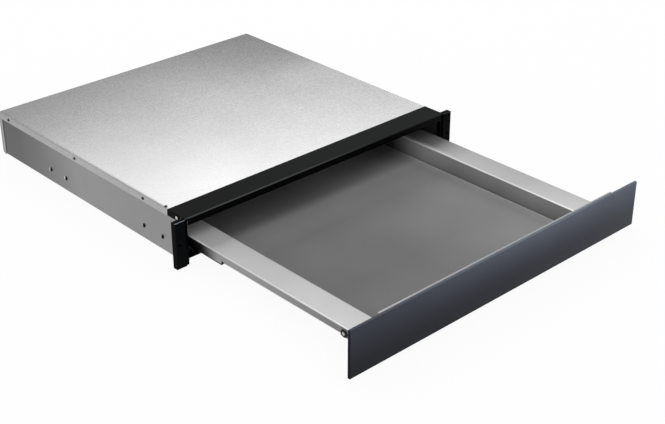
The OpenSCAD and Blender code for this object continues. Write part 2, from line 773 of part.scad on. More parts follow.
// Double-sided adhesive pads: two strips on the carrier and one on each bracket
module panel_pads() color("dimgray") {
    reach = carrier_w / 2 - 3;
    for (z = [carrier_low_z + 3, carrier_top_z - pad_h - 3])
        block([-reach, panel_back_y, z], [reach, carrier_y, z + pad_h]);
    both_sides() block([-bracket_reach_x + 1, panel_back_y, bracket_z + 1],
                       [-ledge_outer_x - 4, carrier_y, bracket_z + bracket_h - 1]);
}

module carrier_screws() color("silver") both_sides()
    at_carrier_screws(tray_front_y + sheet_t) head_back()
        screw(small_head_d, small_head_h, small_screw_d, sheet_t + carrier_t);

module panel_bracket(side) color("lightgray") on_side(side) difference() {
    along_z(bracket_z, bracket_z + bracket_h) folded([
        [-bracket_reach_x, carrier_y + bracket_t / 2],
        [-ledge_outer_x - bracket_t / 2, carrier_y + bracket_t / 2],
        [-ledge_outer_x - bracket_t / 2, panel_back_y + bracket_leg]], bracket_t, 2);
    from_front(panel_back_y + bracket_screw_set)
        translate([-ledge_outer_x - bracket_t - cut, 0, bracket_screw_z]) rotate([0, 90, 0])
            cylinder(d = small_screw_d + 2 * screw_gap, h = bracket_t + 2 * cut);
}

module panel_bracket_left() panel_bracket(-1);
module panel_bracket_right() panel_bracket(1);

module bracket_washers() color("black") both_sides()
    from_front(panel_back_y + bracket_screw_set)
        translate([-ledge_outer_x - bracket_t - washer_t, 0, bracket_screw_z]) rotate([0, 90, 0])
            difference() {
                cylinder(d = washer_d, h = washer_t);
                translate([0, 0, -cut])
                    cylinder(d = small_screw_d + 2 * screw_gap, h = washer_t + 2 * cut);
            }

module bracket_screws() color("silver") both_sides()
    from_front(panel_back_y + bracket_screw_set)
        translate([-ledge_outer_x - bracket_t - washer_t, 0, bracket_screw_z])
            head_left() screw(small_head_d, small_head_h, small_screw_d,
                              washer_t + bracket_t + sheet_t + 0.5);

// PUSH LATCH

module latch_body() color("dimgray") difference() {
    block([-latch_w / 2, latch_front_y, latch_z - latch_h / 2],
          [latch_w / 2, rear_in_y, latch_z + latch_h / 2]);
    from_front(latch_front_y - cut) translate([0, 0, latch_z]) rotate([-90, 0, 0])
        cylinder(d = plunger_d + 2 * plunger_gap, h = latch_l - latch_floor + cut);
    both_sides() from_front(rear_in_y - 8) translate([-rivet_x, 0, latch_z])
        rotate([-90, 0, 0]) cylinder(d = rivet_d + 2 * screw_gap, h = 8 + cut);
}

module latch_rivets() color("silver") both_sides()
    from_front(rear_in_y + sheet_t) translate([-rivet_x, 0, latch_z]) rotate([-90, 0, 0]) {
        cylinder(d = rivet_head_d, h = sheet_t);
        translate([0, 0, -sheet_t - 7]) cylinder(d = rivet_d, h = sheet_t + 7);
    }

module latch_plunger() color("white")
    from_front(plunger_front_y) translate([0, 0, latch_z]) rotate([-90, 0, 0])
        cylinder(d = plunger_d, h = plunger_end_y - plunger_front_y);

module latch_tip() color("black")
    from_front(plunger_front_y - tip_t) translate([0, 0, latch_z]) rotate([-90, 0, 0])
        cylinder(d1 = plunger_d - 2, d2 = plunger_d - 0.4, h = tip_t);

// Return spring: one wire wound round the plunger's axis behind it
module latch_spring() color("silver") {
    sides = 8;
    steps = 16;
    start = plunger_end_y + spring_wire_d / 2;
    reach = rear_in_y - latch_floor - spring_wire_d / 2 - start;
    coil_r = plunger_d / 2 - spring_wire_d;
    rings = steps * spring_turns;
    points = [for (i = [0:rings], j = [0:sides - 1])
        let (a = 360 * i / steps, b = 360 * j / sides,
             r = coil_r + cos(b) * spring_wire_d / 2)
        [r * cos(a), start + reach * i / rings + sin(b) * spring_wire_d / 2,
         latch_z + r * sin(a)]];
    faces = concat(
        [for (i = [0:rings - 1], j = [0:sides - 1]) let (n = (j + 1) % sides)
            [i * sides + j, (i + 1) * sides + j, (i + 1) * sides + n]],
        [for (i = [0:rings - 1], j = [0:sides - 1]) let (n = (j + 1) % sides)
            [i * sides + j, (i + 1) * sides + n, i * sides + n]],
        [for (j = [1:sides - 2]) [0, j, j + 1]],
        [for (j = [1:sides - 2]) [rings * sides, rings * sides + j + 1, rings * sides + j]]);
    from_front() polyhedron(points = points, faces = faces);
}

module latch_striker() color("silver")
    block([-striker_w / 2, tray_rear_y, latch_z - striker_h / 2],
          [striker_w / 2, tray_rear_y + striker_t, latch_z + striker_h / 2]);

base_plate();
side_panel_left();
side_panel_right();
side_flanges_left();
side_flanges_right();
side_tab_left();
side_tab_right();
rear_panel();
top_cover();
front_crossbar();
front_post_left();
front_post_right();
front_sill();
cover_screws();
crossbar_screws();
post_screws();
slide_brackets_left();
slide_brackets_right();
slide_screws();
slide_nuts();
slide_outer_left();
slide_outer_right();
slide_buffers();
latch_body();
latch_rivets();
latch_plunger();
latch_tip();
latch_spring();
latch_striker();
tray_side_left();
tray_side_right();
tray_floor();
tray_back();
tray_mat();
front_panel();
panel_pads();
panel_carrier();
carrier_screws();
panel_bracket_left();
panel_bracket_right();
bracket_screws();
bracket_washers();
slide_hanger_left();
slide_hanger_right();
slide_inner_left();
slide_inner_right();
slide_middle_left();
slide_middle_right();
ball_cage_outer_left();
ball_cage_outer_right();
ball_cage_inner_left();
ball_cage_inner_right();
balls_outer_left();
balls_outer_right();
balls_inner_left();
balls_inner_right();
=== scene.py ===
"""Dresses the built-in accessory drawer: folded steel housing, black front frame, tray,
telescopic slides, dark front panel and push latch, in a plain pale studio.

Lengths are in millimetres until a mesh is written, and depths are counted from the
posts' front faces, as in the part's source. Left is the -X side.
"""

import logging
import math
from dataclasses import dataclass
from enum import Enum

import bmesh
import bpy
import numpy as np
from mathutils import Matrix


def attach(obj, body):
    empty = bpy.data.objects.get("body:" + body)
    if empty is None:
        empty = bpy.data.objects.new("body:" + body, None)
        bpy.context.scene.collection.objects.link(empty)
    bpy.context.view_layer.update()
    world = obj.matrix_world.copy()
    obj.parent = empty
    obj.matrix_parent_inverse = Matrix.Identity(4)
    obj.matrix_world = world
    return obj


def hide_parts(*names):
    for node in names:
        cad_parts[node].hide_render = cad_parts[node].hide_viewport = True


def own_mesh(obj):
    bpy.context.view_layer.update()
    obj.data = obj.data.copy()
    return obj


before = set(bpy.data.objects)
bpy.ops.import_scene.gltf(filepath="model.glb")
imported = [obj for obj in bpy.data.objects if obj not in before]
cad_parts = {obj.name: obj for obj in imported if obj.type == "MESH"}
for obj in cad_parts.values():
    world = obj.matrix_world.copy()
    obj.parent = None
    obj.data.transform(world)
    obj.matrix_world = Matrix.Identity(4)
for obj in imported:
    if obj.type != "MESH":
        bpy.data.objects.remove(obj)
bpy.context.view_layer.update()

MM = 0.001
TURN = 2 * math.pi
QUARTER = TURN / 4
ARC_STEPS = 8
RIM_STEPS = 4
ROUND = 48
POLE = 0.001
LEAST_RADIUS = 0.01
MERGE_MM = 0.001
FLAT_DEGREES = 1.0
SHARP_DEGREES = 35.0

Colour = tuple[float, float, float]
Faces = list[tuple[int, ...]]

log = logging.getLogger("drawer")


class Axis(Enum):
    """The model axis that a flat profile runs along; values are (first, second, run)."""

    X = (1, 2, 0)
    Y = (0, 2, 1)
    Z = (0, 1, 2)

    @property
    def index(self) -> int:
        """Which number of a point belongs to this axis."""
        return self.value[2]

    def place(self, flat: np.ndarray, run: np.ndarray | float) -> np.ndarray:
        """Puts profile points into the model.

        Args:
            flat: profile points, shape (..., 2).
            run: how far along this axis each one stands.

        Returns:
            Points of shape (..., 3).
        """
        first, second, along = self.value
        out = np.empty(flat.shape[:-1] + (3,))
        out[..., first], out[..., second], out[..., along] = flat[..., 0], flat[..., 1], run
        return out


class Side(Enum):
    """The two hands of a mirrored piece."""

    LEFT = -1
    RIGHT = 1

    @property
    def word(self) -> str:
        """The ending of this side's node names."""
        return self.name.lower()


class Facing(Enum):
    """Where the head of a fastener points, as the model axes of its own x, y and z."""

    LEFT = ((0, 1, 0), (0, 0, -1), (-1, 0, 0))
    BACK = ((1, 0, 0), (0, 0, -1), (0, 1, 0))
    UP = ((1, 0, 0), (0, 1, 0), (0, 0, 1))

    def turn(self, points: np.ndarray, origin: tuple[float, float, float]) -> np.ndarray:
        """Turns points given about the fastener's seat and moves them to origin."""
        return points @ np.array(self.value, float) + np.array(origin)


@dataclass(frozen=True)
class Plan:
    """Sizes that several sub-assemblies share."""

    half_width: float = 270.0
    depth: float = 514.0
    height: float = 76.9
    sheet: float = 0.8
    bar_depth: float = 42.0
    panel_back: float = -365.5
    tray_front: float = -363.3
    tray_rear: float = 99.5
    ledge_out: float = 256.0
    ledge_in: float = 212.5
    slide_back: float = 251.6
    slide_height: float = 24.1
    ledge_top: float = 40.7
    tray_under: float = 8.6
    slide_screws: tuple[float, ...] = (59.5, 106.0, 317.0, 361.0)

    def y(self, depth: float | np.ndarray) -> float | np.ndarray:
        """Model Y of a depth behind the posts' front faces."""
        return depth - self.depth / 2


PLAN = Plan()


# Surfaces


@dataclass(frozen=True)
class Shell:
    """Points in millimetres and the faces between them."""

    points: np.ndarray
    faces: Faces

    def mirrored(self) -> "Shell":
        """The same surface on the other side of the middle, with its faces turned round."""
        return Shell(self.points * (-1, 1, 1), [f[::-1] for f in self.faces])

    def on(self, side: Side) -> "Shell":
        """This left-hand surface, or its mirror image for the right side."""
        return self if side is Side.LEFT else self.mirrored()


def grid_faces(rows: int, columns: int, closed: bool = False) -> np.ndarray:
    """Quads of a grid of points: face (r, c) joins c and c + 1 of rows r and r + 1.

    Args:
        rows: number of rows of points.
        columns: number of points in a row.
        closed: True if the last column joins the first.

    Returns:
        Index array of shape (faces, 4).
    """
    count = columns if closed else columns - 1
    row = np.arange(rows - 1)[:, None] * columns
    here = np.arange(count)[None, :]
    there = (here + 1) % columns
    quads = [row + here, row + there, row + columns + there, row + columns + here]
    return np.stack(quads, -1).reshape(-1, 4)


def loft(rings: np.ndarray) -> Shell:
    """A closed solid through rings of points, with a flat face on its first and last ring.

    Args:
        rings: points of shape (rings, points in a ring, 3).

    Returns:
        The solid's surface.
    """
    count, around, _ = rings.shape
    faces: Faces = [tuple(q) for q in grid_faces(count, around, closed=True).tolist()]
    last = (count - 1) * around
    faces.append(tuple(range(around))[::-1])
    faces.append(tuple(range(last, last + around)))
    return Shell(rings.reshape(-1, 3), faces)


def skin(grids: list[np.ndarray]) -> Shell:
    """An open surface of several grids of points whose shared edges are merged later.

    Args:
        grids: arrays of shape (rows, columns, 3).

    Returns:
        The grids as one surface.
    """
    faces: Faces = []
    start = 0
    for grid in grids:
        quads = grid_faces(grid.shape[0], grid.shape[1]) + start
        faces += [tuple(q) for q in quads.tolist()]
        start += grid.shape[0] * grid.shape[1]
    return Shell(np.concatenate([g.reshape(-1, 3) for g in grids]), faces)


def fold_line(path: list[tuple[float, float]], shift: float, radius: float) -> np.ndarray:
    """One face of a folded sheet's section.

    The middle line runs through path. It is moved sideways by shift, and each corner p with
    unit directions a into it and b out of it becomes an arc about p + (b - a) * radius:
    centre - b * reach * cos(q) + a * reach * sin(q), where reach is radius less shift
    towards the inside of the turn and q runs from 0 to a right angle.

    Args:
        path: corner points of the middle line.
        shift: distance to the left of it.
        radius: radius of the middle line's arcs.

    Returns:
        Points of shape (n, 2).
    """
    corners = np.array(path, float)
    step = np.diff(corners, axis=0)
    unit = step / np.linalg.norm(step, axis=1, keepdims=True)
    left = np.stack([-unit[:, 1], unit[:, 0]], 1)
    a, b = unit[:-1], unit[1:]
    turn = np.sign(a[:, 0] * b[:, 1] - a[:, 1] * b[:, 0])
    centre = corners[1:-1] + (b - a) * radius
    reach = (radius - shift * turn)[:, None, None]
    q = np.linspace(0, QUARTER, ARC_STEPS + 1)[None, :, None]
    arcs = centre[:, None] - b[:, None] * reach * np.cos(q) + a[:, None] * reach * np.sin(q)
    ends = corners[[0, -1]] + left[[0, -1]] * shift
    return np.vstack([ends[:1], arcs.reshape(-1, 2), ends[1:]])


def sheet(
    path: list[tuple[float, float]],
    thick: float,
    radius: float,
    axis: Axis,
    start: float,
    stop: float,
) -> Shell:
    """A folded sheet: the section between its two faces, carried along an axis.

    Args:
        path: corner points of the sheet's middle line.
        thick: thickness of the sheet.
        radius: outside radius of its folds.
        axis: model axis that the section runs along.
        start: where it begins on that axis.
        stop: where it ends.

    Returns:
        The sheet's closed surface.
    """
    middle = radius - thick / 2
    one, other = (fold_line(path, s * thick / 2, middle) for s in (1, -1))
    section = np.vstack([one, other[::-1]])
    count, last = len(one), len(section) - 1
    rings = np.stack([axis.place(section, start), axis.place(section, stop)])
    faces = grid_faces(2, len(section), closed=True)
    at = np.arange(count - 1)
    cap = np.stack([at, at + 1, last - at - 1, last - at], 1)
    quads = np.vstack([faces, cap[:, ::-1], cap + len(section)])
    return Shell(rings.reshape(-1, 3), [tuple(q) for q in quads.tolist()])


def outline(low: tuple[float, float], high: tuple[float, float], corner: float, inset: float
            ) -> np.ndarray:
    """A rectangle with round corners, moved inwards: a quarter circle about each corner's centre.

    Args:
        low: lowest corner.
        high: highest corner.
        corner: radius of the corners.
        inset: how far the outline is moved inwards.

    Returns:
        Points of shape (n, 2), once round.
    """
    r = max(corner, inset + LEAST_RADIUS)
    q = np.linspace(0, QUARTER, ARC_STEPS + 1)
    x0, y0, x1, y1 = low[0] + r, low[1] + r, high[0] - r, high[1] - r
    centres = np.array([[x1, y1], [x0, y1], [x0, y0], [x1, y0]])
    angle = q[None, :] + np.arange(len(centres))[:, None] * QUARTER
    arc = np.stack([np.cos(angle), np.sin(angle)], -1) * (r - inset)
    return (centres[:, None] + arc).reshape(-1, 2)


def plate(
    low: tuple[float, float, float],
    high: tuple[float, float, float],
    corner: float,
    edge: float,
    axis: Axis = Axis.Z,
) -> Shell:
    """A plate between two corners with round corners, its rims turned over a small radius.

    Each rim is a stack of outlines moved inwards by edge * (1 - cos q) as they rise by
    edge * sin q, so that a highlight runs along it.

    Args:
        low: lowest corner in the model.
        high: highest corner in the model.
        corner: radius of the corners in the plane across axis.
        edge: radius of the rims.
        axis: the plate's thin direction.

    Returns:
        The plate's closed surface.
    """
    first, second, along = axis.value
    q = np.linspace(0, QUARTER, RIM_STEPS)
    inset = edge * (1 - np.cos(q))
    rise = edge * (1 - np.sin(q))
    steps = [(i, low[along] + r) for i, r in zip(inset[::-1], rise[::-1])]
    steps += [(i, high[along] - r) for i, r in zip(inset, rise)]
    flat_low, flat_high = (low[first], low[second]), (high[first], high[second])
    rings = [axis.place(outline(flat_low, flat_high, corner, i), s) for i, s in steps]
    return loft(np.stack(rings))


def lathe(radii: list[float], heights: list[float], around: int = ROUND) -> np.ndarray:
    """Rings of a turned shape about its own z: (r cos q, r sin q, h), q once round.

    Args:
        radii: radius of each ring.
        heights: height of each ring.
        around: points in a ring.

    Returns:
        Points of shape (rings, around, 3).
    """
    q = np.arange(around) * TURN / around
    r, h = np.array(radii, float)[:, None], np.array(heights, float)[:, None]
    return np.stack([r * np.cos(q), r * np.sin(q), h + 0 * q], -1)


# Finishes

NOISE_ROUGHNESS = 0.6


class Board:
    """A material's nodes, with short ways to add and join them."""

    def __init__(self, name: str) -> None:
        """Starts a material that holds one shader.

        Args:
            name: the material's name.
        """
        self.material = bpy.data.materials.new(name)
        self.material.use_nodes = True
        self.tree = self.material.node_tree
        self.shader = self.tree.nodes["Principled BSDF"]
        self.place = self.add("ShaderNodeTexCoord").outputs["Object"]

    def add(self, kind: str, settings: dict | None = None, **sockets: object) -> bpy.types.Node:
        """Adds a node.

        Args:
            kind: the node's type.
            settings: its own options.
            sockets: values or other nodes' sockets for its inputs, named with _ for a space.

        Returns:
            The new node.
        """
        node = self.tree.nodes.new(kind)
        for key, value in (settings or {}).items():
            setattr(node, key, value)
        for key, value in sockets.items():
            self.feed(node.inputs[key.replace("_", " ")], value)
        return node

    def feed(self, socket: bpy.types.NodeSocket, value: object) -> None:
        """Joins a socket to a value that is a socket, or else sets it.

        Args:
            socket: an input of a node.
            value: what goes into it.
        """
        if isinstance(value, bpy.types.NodeSocket):
            self.tree.links.new(value, socket)
        else:
            socket.default_value = value

    def stretched(self, scale: tuple[float, float, float]) -> bpy.types.NodeSocket:
        """Object coordinates in cells per metre along each axis."""
        return self.add("ShaderNodeMapping", Vector=self.place, Scale=scale).outputs[0]

    def noise(self, scale: tuple[float, float, float], detail: float = 3.0
              ) -> bpy.types.NodeSocket:
        """Cloudy pattern from 0 to 1.

        Args:
            scale: cells per metre along each axis.
            detail: number of finer layers.

        Returns:
            The pattern's socket.
        """
        node = self.add("ShaderNodeTexNoise", Vector=self.stretched(scale), Scale=1.0,
                        Detail=detail, Roughness=NOISE_ROUGHNESS)
        return node.outputs["Fac"]

    def cells(self, scale: float) -> bpy.types.NodeSocket:
        """A grey level for each crystal of a Voronoi pattern, scale of them in a metre."""
        node = self.add("ShaderNodeTexVoronoi", Vector=self.place, Scale=scale)
        return self.add("ShaderNodeSeparateColor", Color=node.outputs["Color"]).outputs[0]

    def span(self, value: bpy.types.NodeSocket, low: float, high: float,
             start: float = 0.0, stop: float = 1.0) -> bpy.types.NodeSocket:
        """A value's range carried to another one, and held beyond its ends.

        Args:
            value: the socket to carry over.
            low: result at start.
            high: result at stop.
            start: value at which the range begins.
            stop: value at which it ends.

        Returns:
            The result's socket.
        """
        node = self.add("ShaderNodeMapRange", Value=value, From_Min=start, From_Max=stop,
                        To_Min=low, To_Max=high)
        return node.outputs[0]

    def math(self, kind: str, a: object, b: object) -> bpy.types.NodeSocket:
        """One sum of two numbers or sockets.

        Args:
            kind: the sum's name, such as ADD.
            a: first number or socket.
            b: second one.

        Returns:
            The result's socket.
        """
        node = self.add("ShaderNodeMath", {"operation": kind})
        self.feed(node.inputs[0], a)
        self.feed(node.inputs[1], b)
        return node.outputs[0]

    def tint(self, colour: Colour, level: bpy.types.NodeSocket) -> bpy.types.NodeSocket:
        """A colour made darker or lighter.

        Args:
            colour: the colour as it is at level 1.
            level: what it is multiplied by.

        Returns:
            The new colour's socket.
        """
        node = self.add("ShaderNodeVectorMath", {"operation": "SCALE"})
        self.feed(node.inputs[0], colour)
        self.feed(node.inputs["Scale"], level)
        return node.outputs[0]


@dataclass(frozen=True)
class PaintedLightRamp:
    """Painted light and shade: a slow change of tone along one axis of the model, in part of it
    if it has gates, that stands in for gradients, highlights and shadows.
    """

    axis: Axis
    start: float
    stop: float
    low: float
    high: float
    gates: "tuple[PaintedLightRamp, ...]" = ()

    def level(self, board: Board) -> bpy.types.NodeSocket:
        """The tone at a place, from low at start to high at stop.

        With gates whose levels multiply to g it is 1 + (tone - 1) * g, so that a gate of
        level 0 leaves the place alone.

        Args:
            board: the material that it is drawn in.

        Returns:
            The tone's socket.
        """
        parts = board.add("ShaderNodeSeparateXYZ", Vector=board.place).outputs
        tone = board.span(parts[self.axis.index], self.low, self.high, self.start * MM,
                          self.stop * MM)
        if not self.gates:
            return tone
        change = board.math("SUBTRACT", tone, 1.0)
        for gate in self.gates:
            change = board.math("MULTIPLY", change, gate.level(board))
        return board.math("ADD", change, 1.0)


CLOUD_CELLS = (9.0, 9.0, 9.0)
CLOUD_LAYERS = 2.0
CLOUD_TONES = (0.96, 1.04)
CLOUD_REACH = (0.3, 0.7)


def per_metre(size: float) -> tuple[float, float, float]:
    """How many cells of a size in millimetres a metre holds, for each axis."""
    return (1 / (size * MM),) * 3


@dataclass(frozen=True)
class Finish:
    """A plain finish with a fine grain; the kinds below draw other patterns."""

    name: str
    slot: str
    colour: Colour
    roughness: float
    metallic: float = 0.0
    specular: float = 0.5
    swing: float = 0.12
    rough_swing: float = 0.06
    grain: float = 0.6
    relief: float = 0.02
    painted_light: tuple[PaintedLightRamp, ...] = ()

    def pattern(self, board: Board) -> bpy.types.NodeSocket:
        """Grain from 0 to 1: fine noise whose cells are grain millimetres wide."""
        return board.noise(per_metre(self.grain))

    def material(self) -> bpy.types.Material:
        """The material, made once: colour, roughness and relief all follow the pattern.

        The tone is the pattern's level times a faint cloud's and those of all its painted light
        and shade.

        Returns:
            The material.
        """
        if self.name in bpy.data.materials:
            return bpy.data.materials[self.name]
        board = Board(self.name)
        shader = board.shader.inputs
        pattern = self.pattern(board)
        cloud = board.noise(CLOUD_CELLS, CLOUD_LAYERS)
        level = board.span(pattern, 1 - self.swing, 1 + self.swing)
        level = board.math("MULTIPLY", level, board.span(cloud, *CLOUD_TONES, *CLOUD_REACH))
        for fade in self.painted_light:
            level = board.math("MULTIPLY", level, fade.level(board))
        board.feed(shader["Base Color"], board.tint(self.colour, level))
        rough = board.span(pattern, self.roughness - self.rough_swing,
                           self.roughness + self.rough_swing)
        board.feed(shader["Roughness"], rough)
        shader["Metallic"].default_value = self.metallic
        shader["Specular IOR Level"].default_value = self.specular
        if self.relief:
            bump = board.add("ShaderNodeBump", Height=pattern, Distance=self.relief * MM,
                             Strength=1.0)
            board.feed(shader["Normal"], bump.outputs[0])
        return board.material


@dataclass(frozen=True)
class Spangled(Finish):
    """Hot-dip zinc: small crystals of slightly different tone, with speckle between them."""

    crystal: float = 2.4
    small: float = 0.45
    speck: float = 0.5
    shares: tuple[float, float, float] = (0.45, 0.35, 0.2)

    def pattern(self, board: Board) -> bpy.types.NodeSocket:
        """Crystals, others that are small times as large, and specks, added by their shares.

        Args:
            board: the material that it is drawn in.

        Returns:
            The pattern's socket.
        """
        layers = (board.cells(1 / (self.crystal * MM)),
                  board.cells(1 / (self.small * self.crystal * MM)),
                  board.noise(per_metre(self.speck)))
        parts = [board.math("MULTIPLY", p, w) for p, w in zip(layers, self.shares)]
        return board.math("ADD", board.math("ADD", parts[0], parts[1]), parts[2])


@dataclass(frozen=True)
class Brushed(Finish):
    """Satin sheet: fine scratches along one axis, over a soft cloud."""

    along: Axis = Axis.Y
    streak: float = 0.35
    run: float = 45.0
    fine_layers: float = 4.0
    wide_layers: float = 2.0
    wide_scale: float = 0.22
    fine_share: float = 0.65
    wide_share: float = 0.35

    def pattern(self, board: Board) -> bpy.types.NodeSocket:
        """Noise with cells run millimetres long and streak millimetres across.

        The same noise with fewer cells is added to it, each by its share.

        Args:
            board: the material that it is drawn in.

        Returns:
            The pattern's socket.
        """
        scale = [1 / (self.streak * MM)] * 3
        scale[self.along.index] = 1 / (self.run * MM)
        fine = board.noise(tuple(scale), self.fine_layers)
        wide = board.noise(tuple(s * self.wide_scale for s in scale), self.wide_layers)
        return board.math("ADD", board.math("MULTIPLY", fine, self.fine_share),
                          board.math("MULTIPLY", wide, self.wide_share))


@dataclass(frozen=True)
class Pebbled(Finish):
    """Non-slip mat: round pebbles of grain millimetres and a dusty cloud."""

    dust: float = 0.4
    rim: float = 0.8
    dome_share: float = 0.6
    dust_share: float = 0.4

    def pattern(self, board: Board) -> bpy.types.NodeSocket:
        """Distance to the nearest point of a Voronoi pattern, mixed with fine noise.

        Args:
            board: the material that it is drawn in.

        Returns:
            The pattern's socket.
        """
        node = board.add("ShaderNodeTexVoronoi", Vector=board.place,
                         Scale=1 / (self.grain * MM))
        dome = board.span(node.outputs["Distance"], 1.0, 0.0, 0.0, self.rim)
        fine = board.noise(per_metre(self.dust))
        return board.math("ADD", board.math("MULTIPLY", dome, self.dome_share),
                          board.math("MULTIPLY", fine, self.dust_share))


# Finishes of this drawer, with the places in millimetres where painted light and shade change
# their tone

# Masks that confine painted light and shade to one side, to the ledges' tops or to what lies
# below them
LEFT = PaintedLightRamp(Axis.X, -10.0, 10.0, 1.0, 0.0)
RIGHT = PaintedLightRamp(Axis.X, -10.0, 10.0, 0.0, 1.0)
ON_LEDGE = PaintedLightRamp(Axis.Z, 38.2, 39.2, 0.0, 1.0)
BELOW_LEDGE = PaintedLightRamp(Axis.Z, 38.2, 39.2, 1.0, 0.0)
RIGHT_LEDGE = PaintedLightRamp(Axis.X, 214.0, 222.0, 0.0, 1.0)

# Cover zinc with painted light and shade: lighter to the right, darker towards the rear and the
# right rear, darker down the side folds and lips and most on the left fold, with the left lip
# lightened again
COVER = Spangled(
    "cover_zinc", "galvanised", (0.62, 0.62, 0.62), 0.26, metallic=1.0,
    swing=0.063, rough_swing=0.023, relief=0.0008, crystal=2.8,
    painted_light=(PaintedLightRamp(Axis.X, -270.0, 270.0, 0.86, 1.50),
           PaintedLightRamp(Axis.Y, 60.0, 257.0, 1.03, 0.86),
           PaintedLightRamp(Axis.X, 60.0, 270.0, 1.0, 0.76, gates=(PaintedLightRamp(Axis.Y, 20.0, 120.0, 0.0, 1.0),)),
           PaintedLightRamp(Axis.Y, 40.0, 150.0, 1.0, 0.94, gates=(PaintedLightRamp(Axis.X, 20.0, 90.0, 0.0, 1.0),)),
           PaintedLightRamp(Axis.Z, 73.2, 76.2, 0.62, 1.0),
           PaintedLightRamp(Axis.X, -268.0, -264.0, 0.60, 1.0),
           PaintedLightRamp(Axis.Z, 73.2, 76.2, 1.95, 1.0, gates=(PaintedLightRamp(Axis.X, -268.0, -264.0, 1.0, 0.0),))))
# Side zinc: a darker copy of the cover's zinc as painted shade, with painted shade growing
# towards the rear
SIDE = Spangled(
    "side_zinc", "galvanised", (0.30, 0.30, 0.30), 0.42, metallic=1.0,
    swing=0.06, rough_swing=0.05, relief=0.004, crystal=1.8,
    painted_light=(PaintedLightRamp(Axis.Y, 20.0, 200.0, 0.96, 0.40),))
REAR = Spangled(
    "rear_zinc", "galvanised", (0.34, 0.34, 0.34), 0.42, metallic=1.0,
    swing=0.06, rough_swing=0.05, relief=0.004, crystal=1.8)
BASE = Spangled(
    "base_zinc", "galvanised", (0.50, 0.50, 0.50), 0.45, metallic=1.0,
    swing=0.14, relief=0.008, crystal=2.2)
ZINC = Finish(
    "zinc_plate", "zinc", (0.66, 0.66, 0.65), 0.30, metallic=1.0,
    swing=0.08, grain=0.8, relief=0.004)
BRIGHT_ZINC = Finish(
    "bright_zinc", "zinc", (0.45, 0.45, 0.45), 0.16, metallic=1.0,
    swing=0.05, rough_swing=0.04, grain=0.5, relief=0.0)
# Middle members' zinc: a darker copy of the slide zinc as painted shade, a painted shadow along
# the lower flange, and painted shade growing towards the posts
MEMBER_ZINC = Finish(
    "member_zinc", "zinc", (0.34, 0.34, 0.34), 0.38, metallic=0.8,
    swing=0.08, grain=0.8, relief=0.004,
    painted_light=(PaintedLightRamp(Axis.Z, 18.4, 19.2, 0.03, 1.0),
           PaintedLightRamp(Axis.Y, -312.0, -262.0, 1.1, 0.25),
           PaintedLightRamp(Axis.Y, -300.0, -270.0, 1.0, 0.3)))


def screw_painted_light(depth: float, lit: float) -> PaintedLightRamp:
    """Painted light on one slide screw: a painted shadow over its front half and a painted
    highlight behind it.

    Args:
        depth: where the screw's axis stands.
        lit: tone of the painted highlight on its rear half.

    Returns:
        A ramp of painted light and shade that leaves whatever lies in front of the screw alone.
    """
    y = PLAN.y(depth)
    return PaintedLightRamp(Axis.Y, y - 0.9, y + 0.5, 0.02, lit,
                gates=(PaintedLightRamp(Axis.Y, y - 5.5, y - 5.0, 0.0, 1.0),))


# Slide screws' zinc with a painted shadow on each head's front half and a painted highlight
# behind it
SCREW_ZINC = Finish(
    "screw_zinc", "zinc", (0.34, 0.34, 0.34), 0.35, metallic=1.0,
    swing=0.05, rough_swing=0.04, grain=0.5, relief=0.0,
    painted_light=tuple(map(screw_painted_light, PLAN.slide_screws, (1.0, 1.2, 1.6, 1.0))))
# Tray steel with painted light and shade: a painted highlight on the ledges' folds; painted shade
# on the lips' outer faces, towards the front below the ledges, on the right ledge and the left
# lip near the posts, deep inside the right wall and low on it; gradients along the ledges and the
# right wall; and painted light on the left ledge near the posts where the crossbar's shadow falls
STEEL = Brushed(
    "satin_steel", "stainless", (0.47, 0.47, 0.47), 0.48, metallic=0.58,
    swing=0.11, rough_swing=0.06, relief=0.003, along=Axis.X, streak=0.8,
    painted_light=(PaintedLightRamp(Axis.Z, 38.2, 39.2, 1.0, 2.0),
           PaintedLightRamp(Axis.Z, 40.2, 40.62, 1.0, 0.5),
           PaintedLightRamp(Axis.X, -255.6, -254.8, 0.65, 1.0),
           PaintedLightRamp(Axis.X, 254.8, 255.6, 1.0, 0.65),
           PaintedLightRamp(Axis.Y, -620.0, -400.0, 0.55, 1.0, gates=(BELOW_LEDGE,)),
           PaintedLightRamp(Axis.Y, -345.0, -275.0, 1.0, 0.5, gates=(RIGHT_LEDGE, ON_LEDGE)),
           PaintedLightRamp(Axis.Y, -577.0, -450.0, 1.15, 0.87, gates=(RIGHT, ON_LEDGE)),
           PaintedLightRamp(Axis.Y, -292.0, -257.0, 1.0, 2.2, gates=(LEFT, ON_LEDGE)),
           PaintedLightRamp(Axis.Y, -577.0, -317.0, 1.15, 0.81, gates=(LEFT, ON_LEDGE)),
           PaintedLightRamp(Axis.Y, -312.0, -275.0, 1.0, 0.03, gates=(LEFT, BELOW_LEDGE)),
           PaintedLightRamp(Axis.Y, -340.0, -270.0, 0.77, 1.15, gates=(RIGHT, BELOW_LEDGE)),
           PaintedLightRamp(Axis.Y, -500.0, -430.0, 1.35, 1.0, gates=(RIGHT, BELOW_LEDGE)),
           PaintedLightRamp(Axis.Y, -235.0, -195.0, 1.0, 0.12, gates=(RIGHT, BELOW_LEDGE)),
           PaintedLightRamp(Axis.Z, 12.0, 32.0, 0.7, 1.0, gates=(RIGHT, BELOW_LEDGE))))
STEEL_ACROSS = Brushed(
    "satin_steel_across", "stainless", (0.50, 0.50, 0.50), 0.34, metallic=1.0,
    swing=0.07, relief=0.003, along=Axis.X)
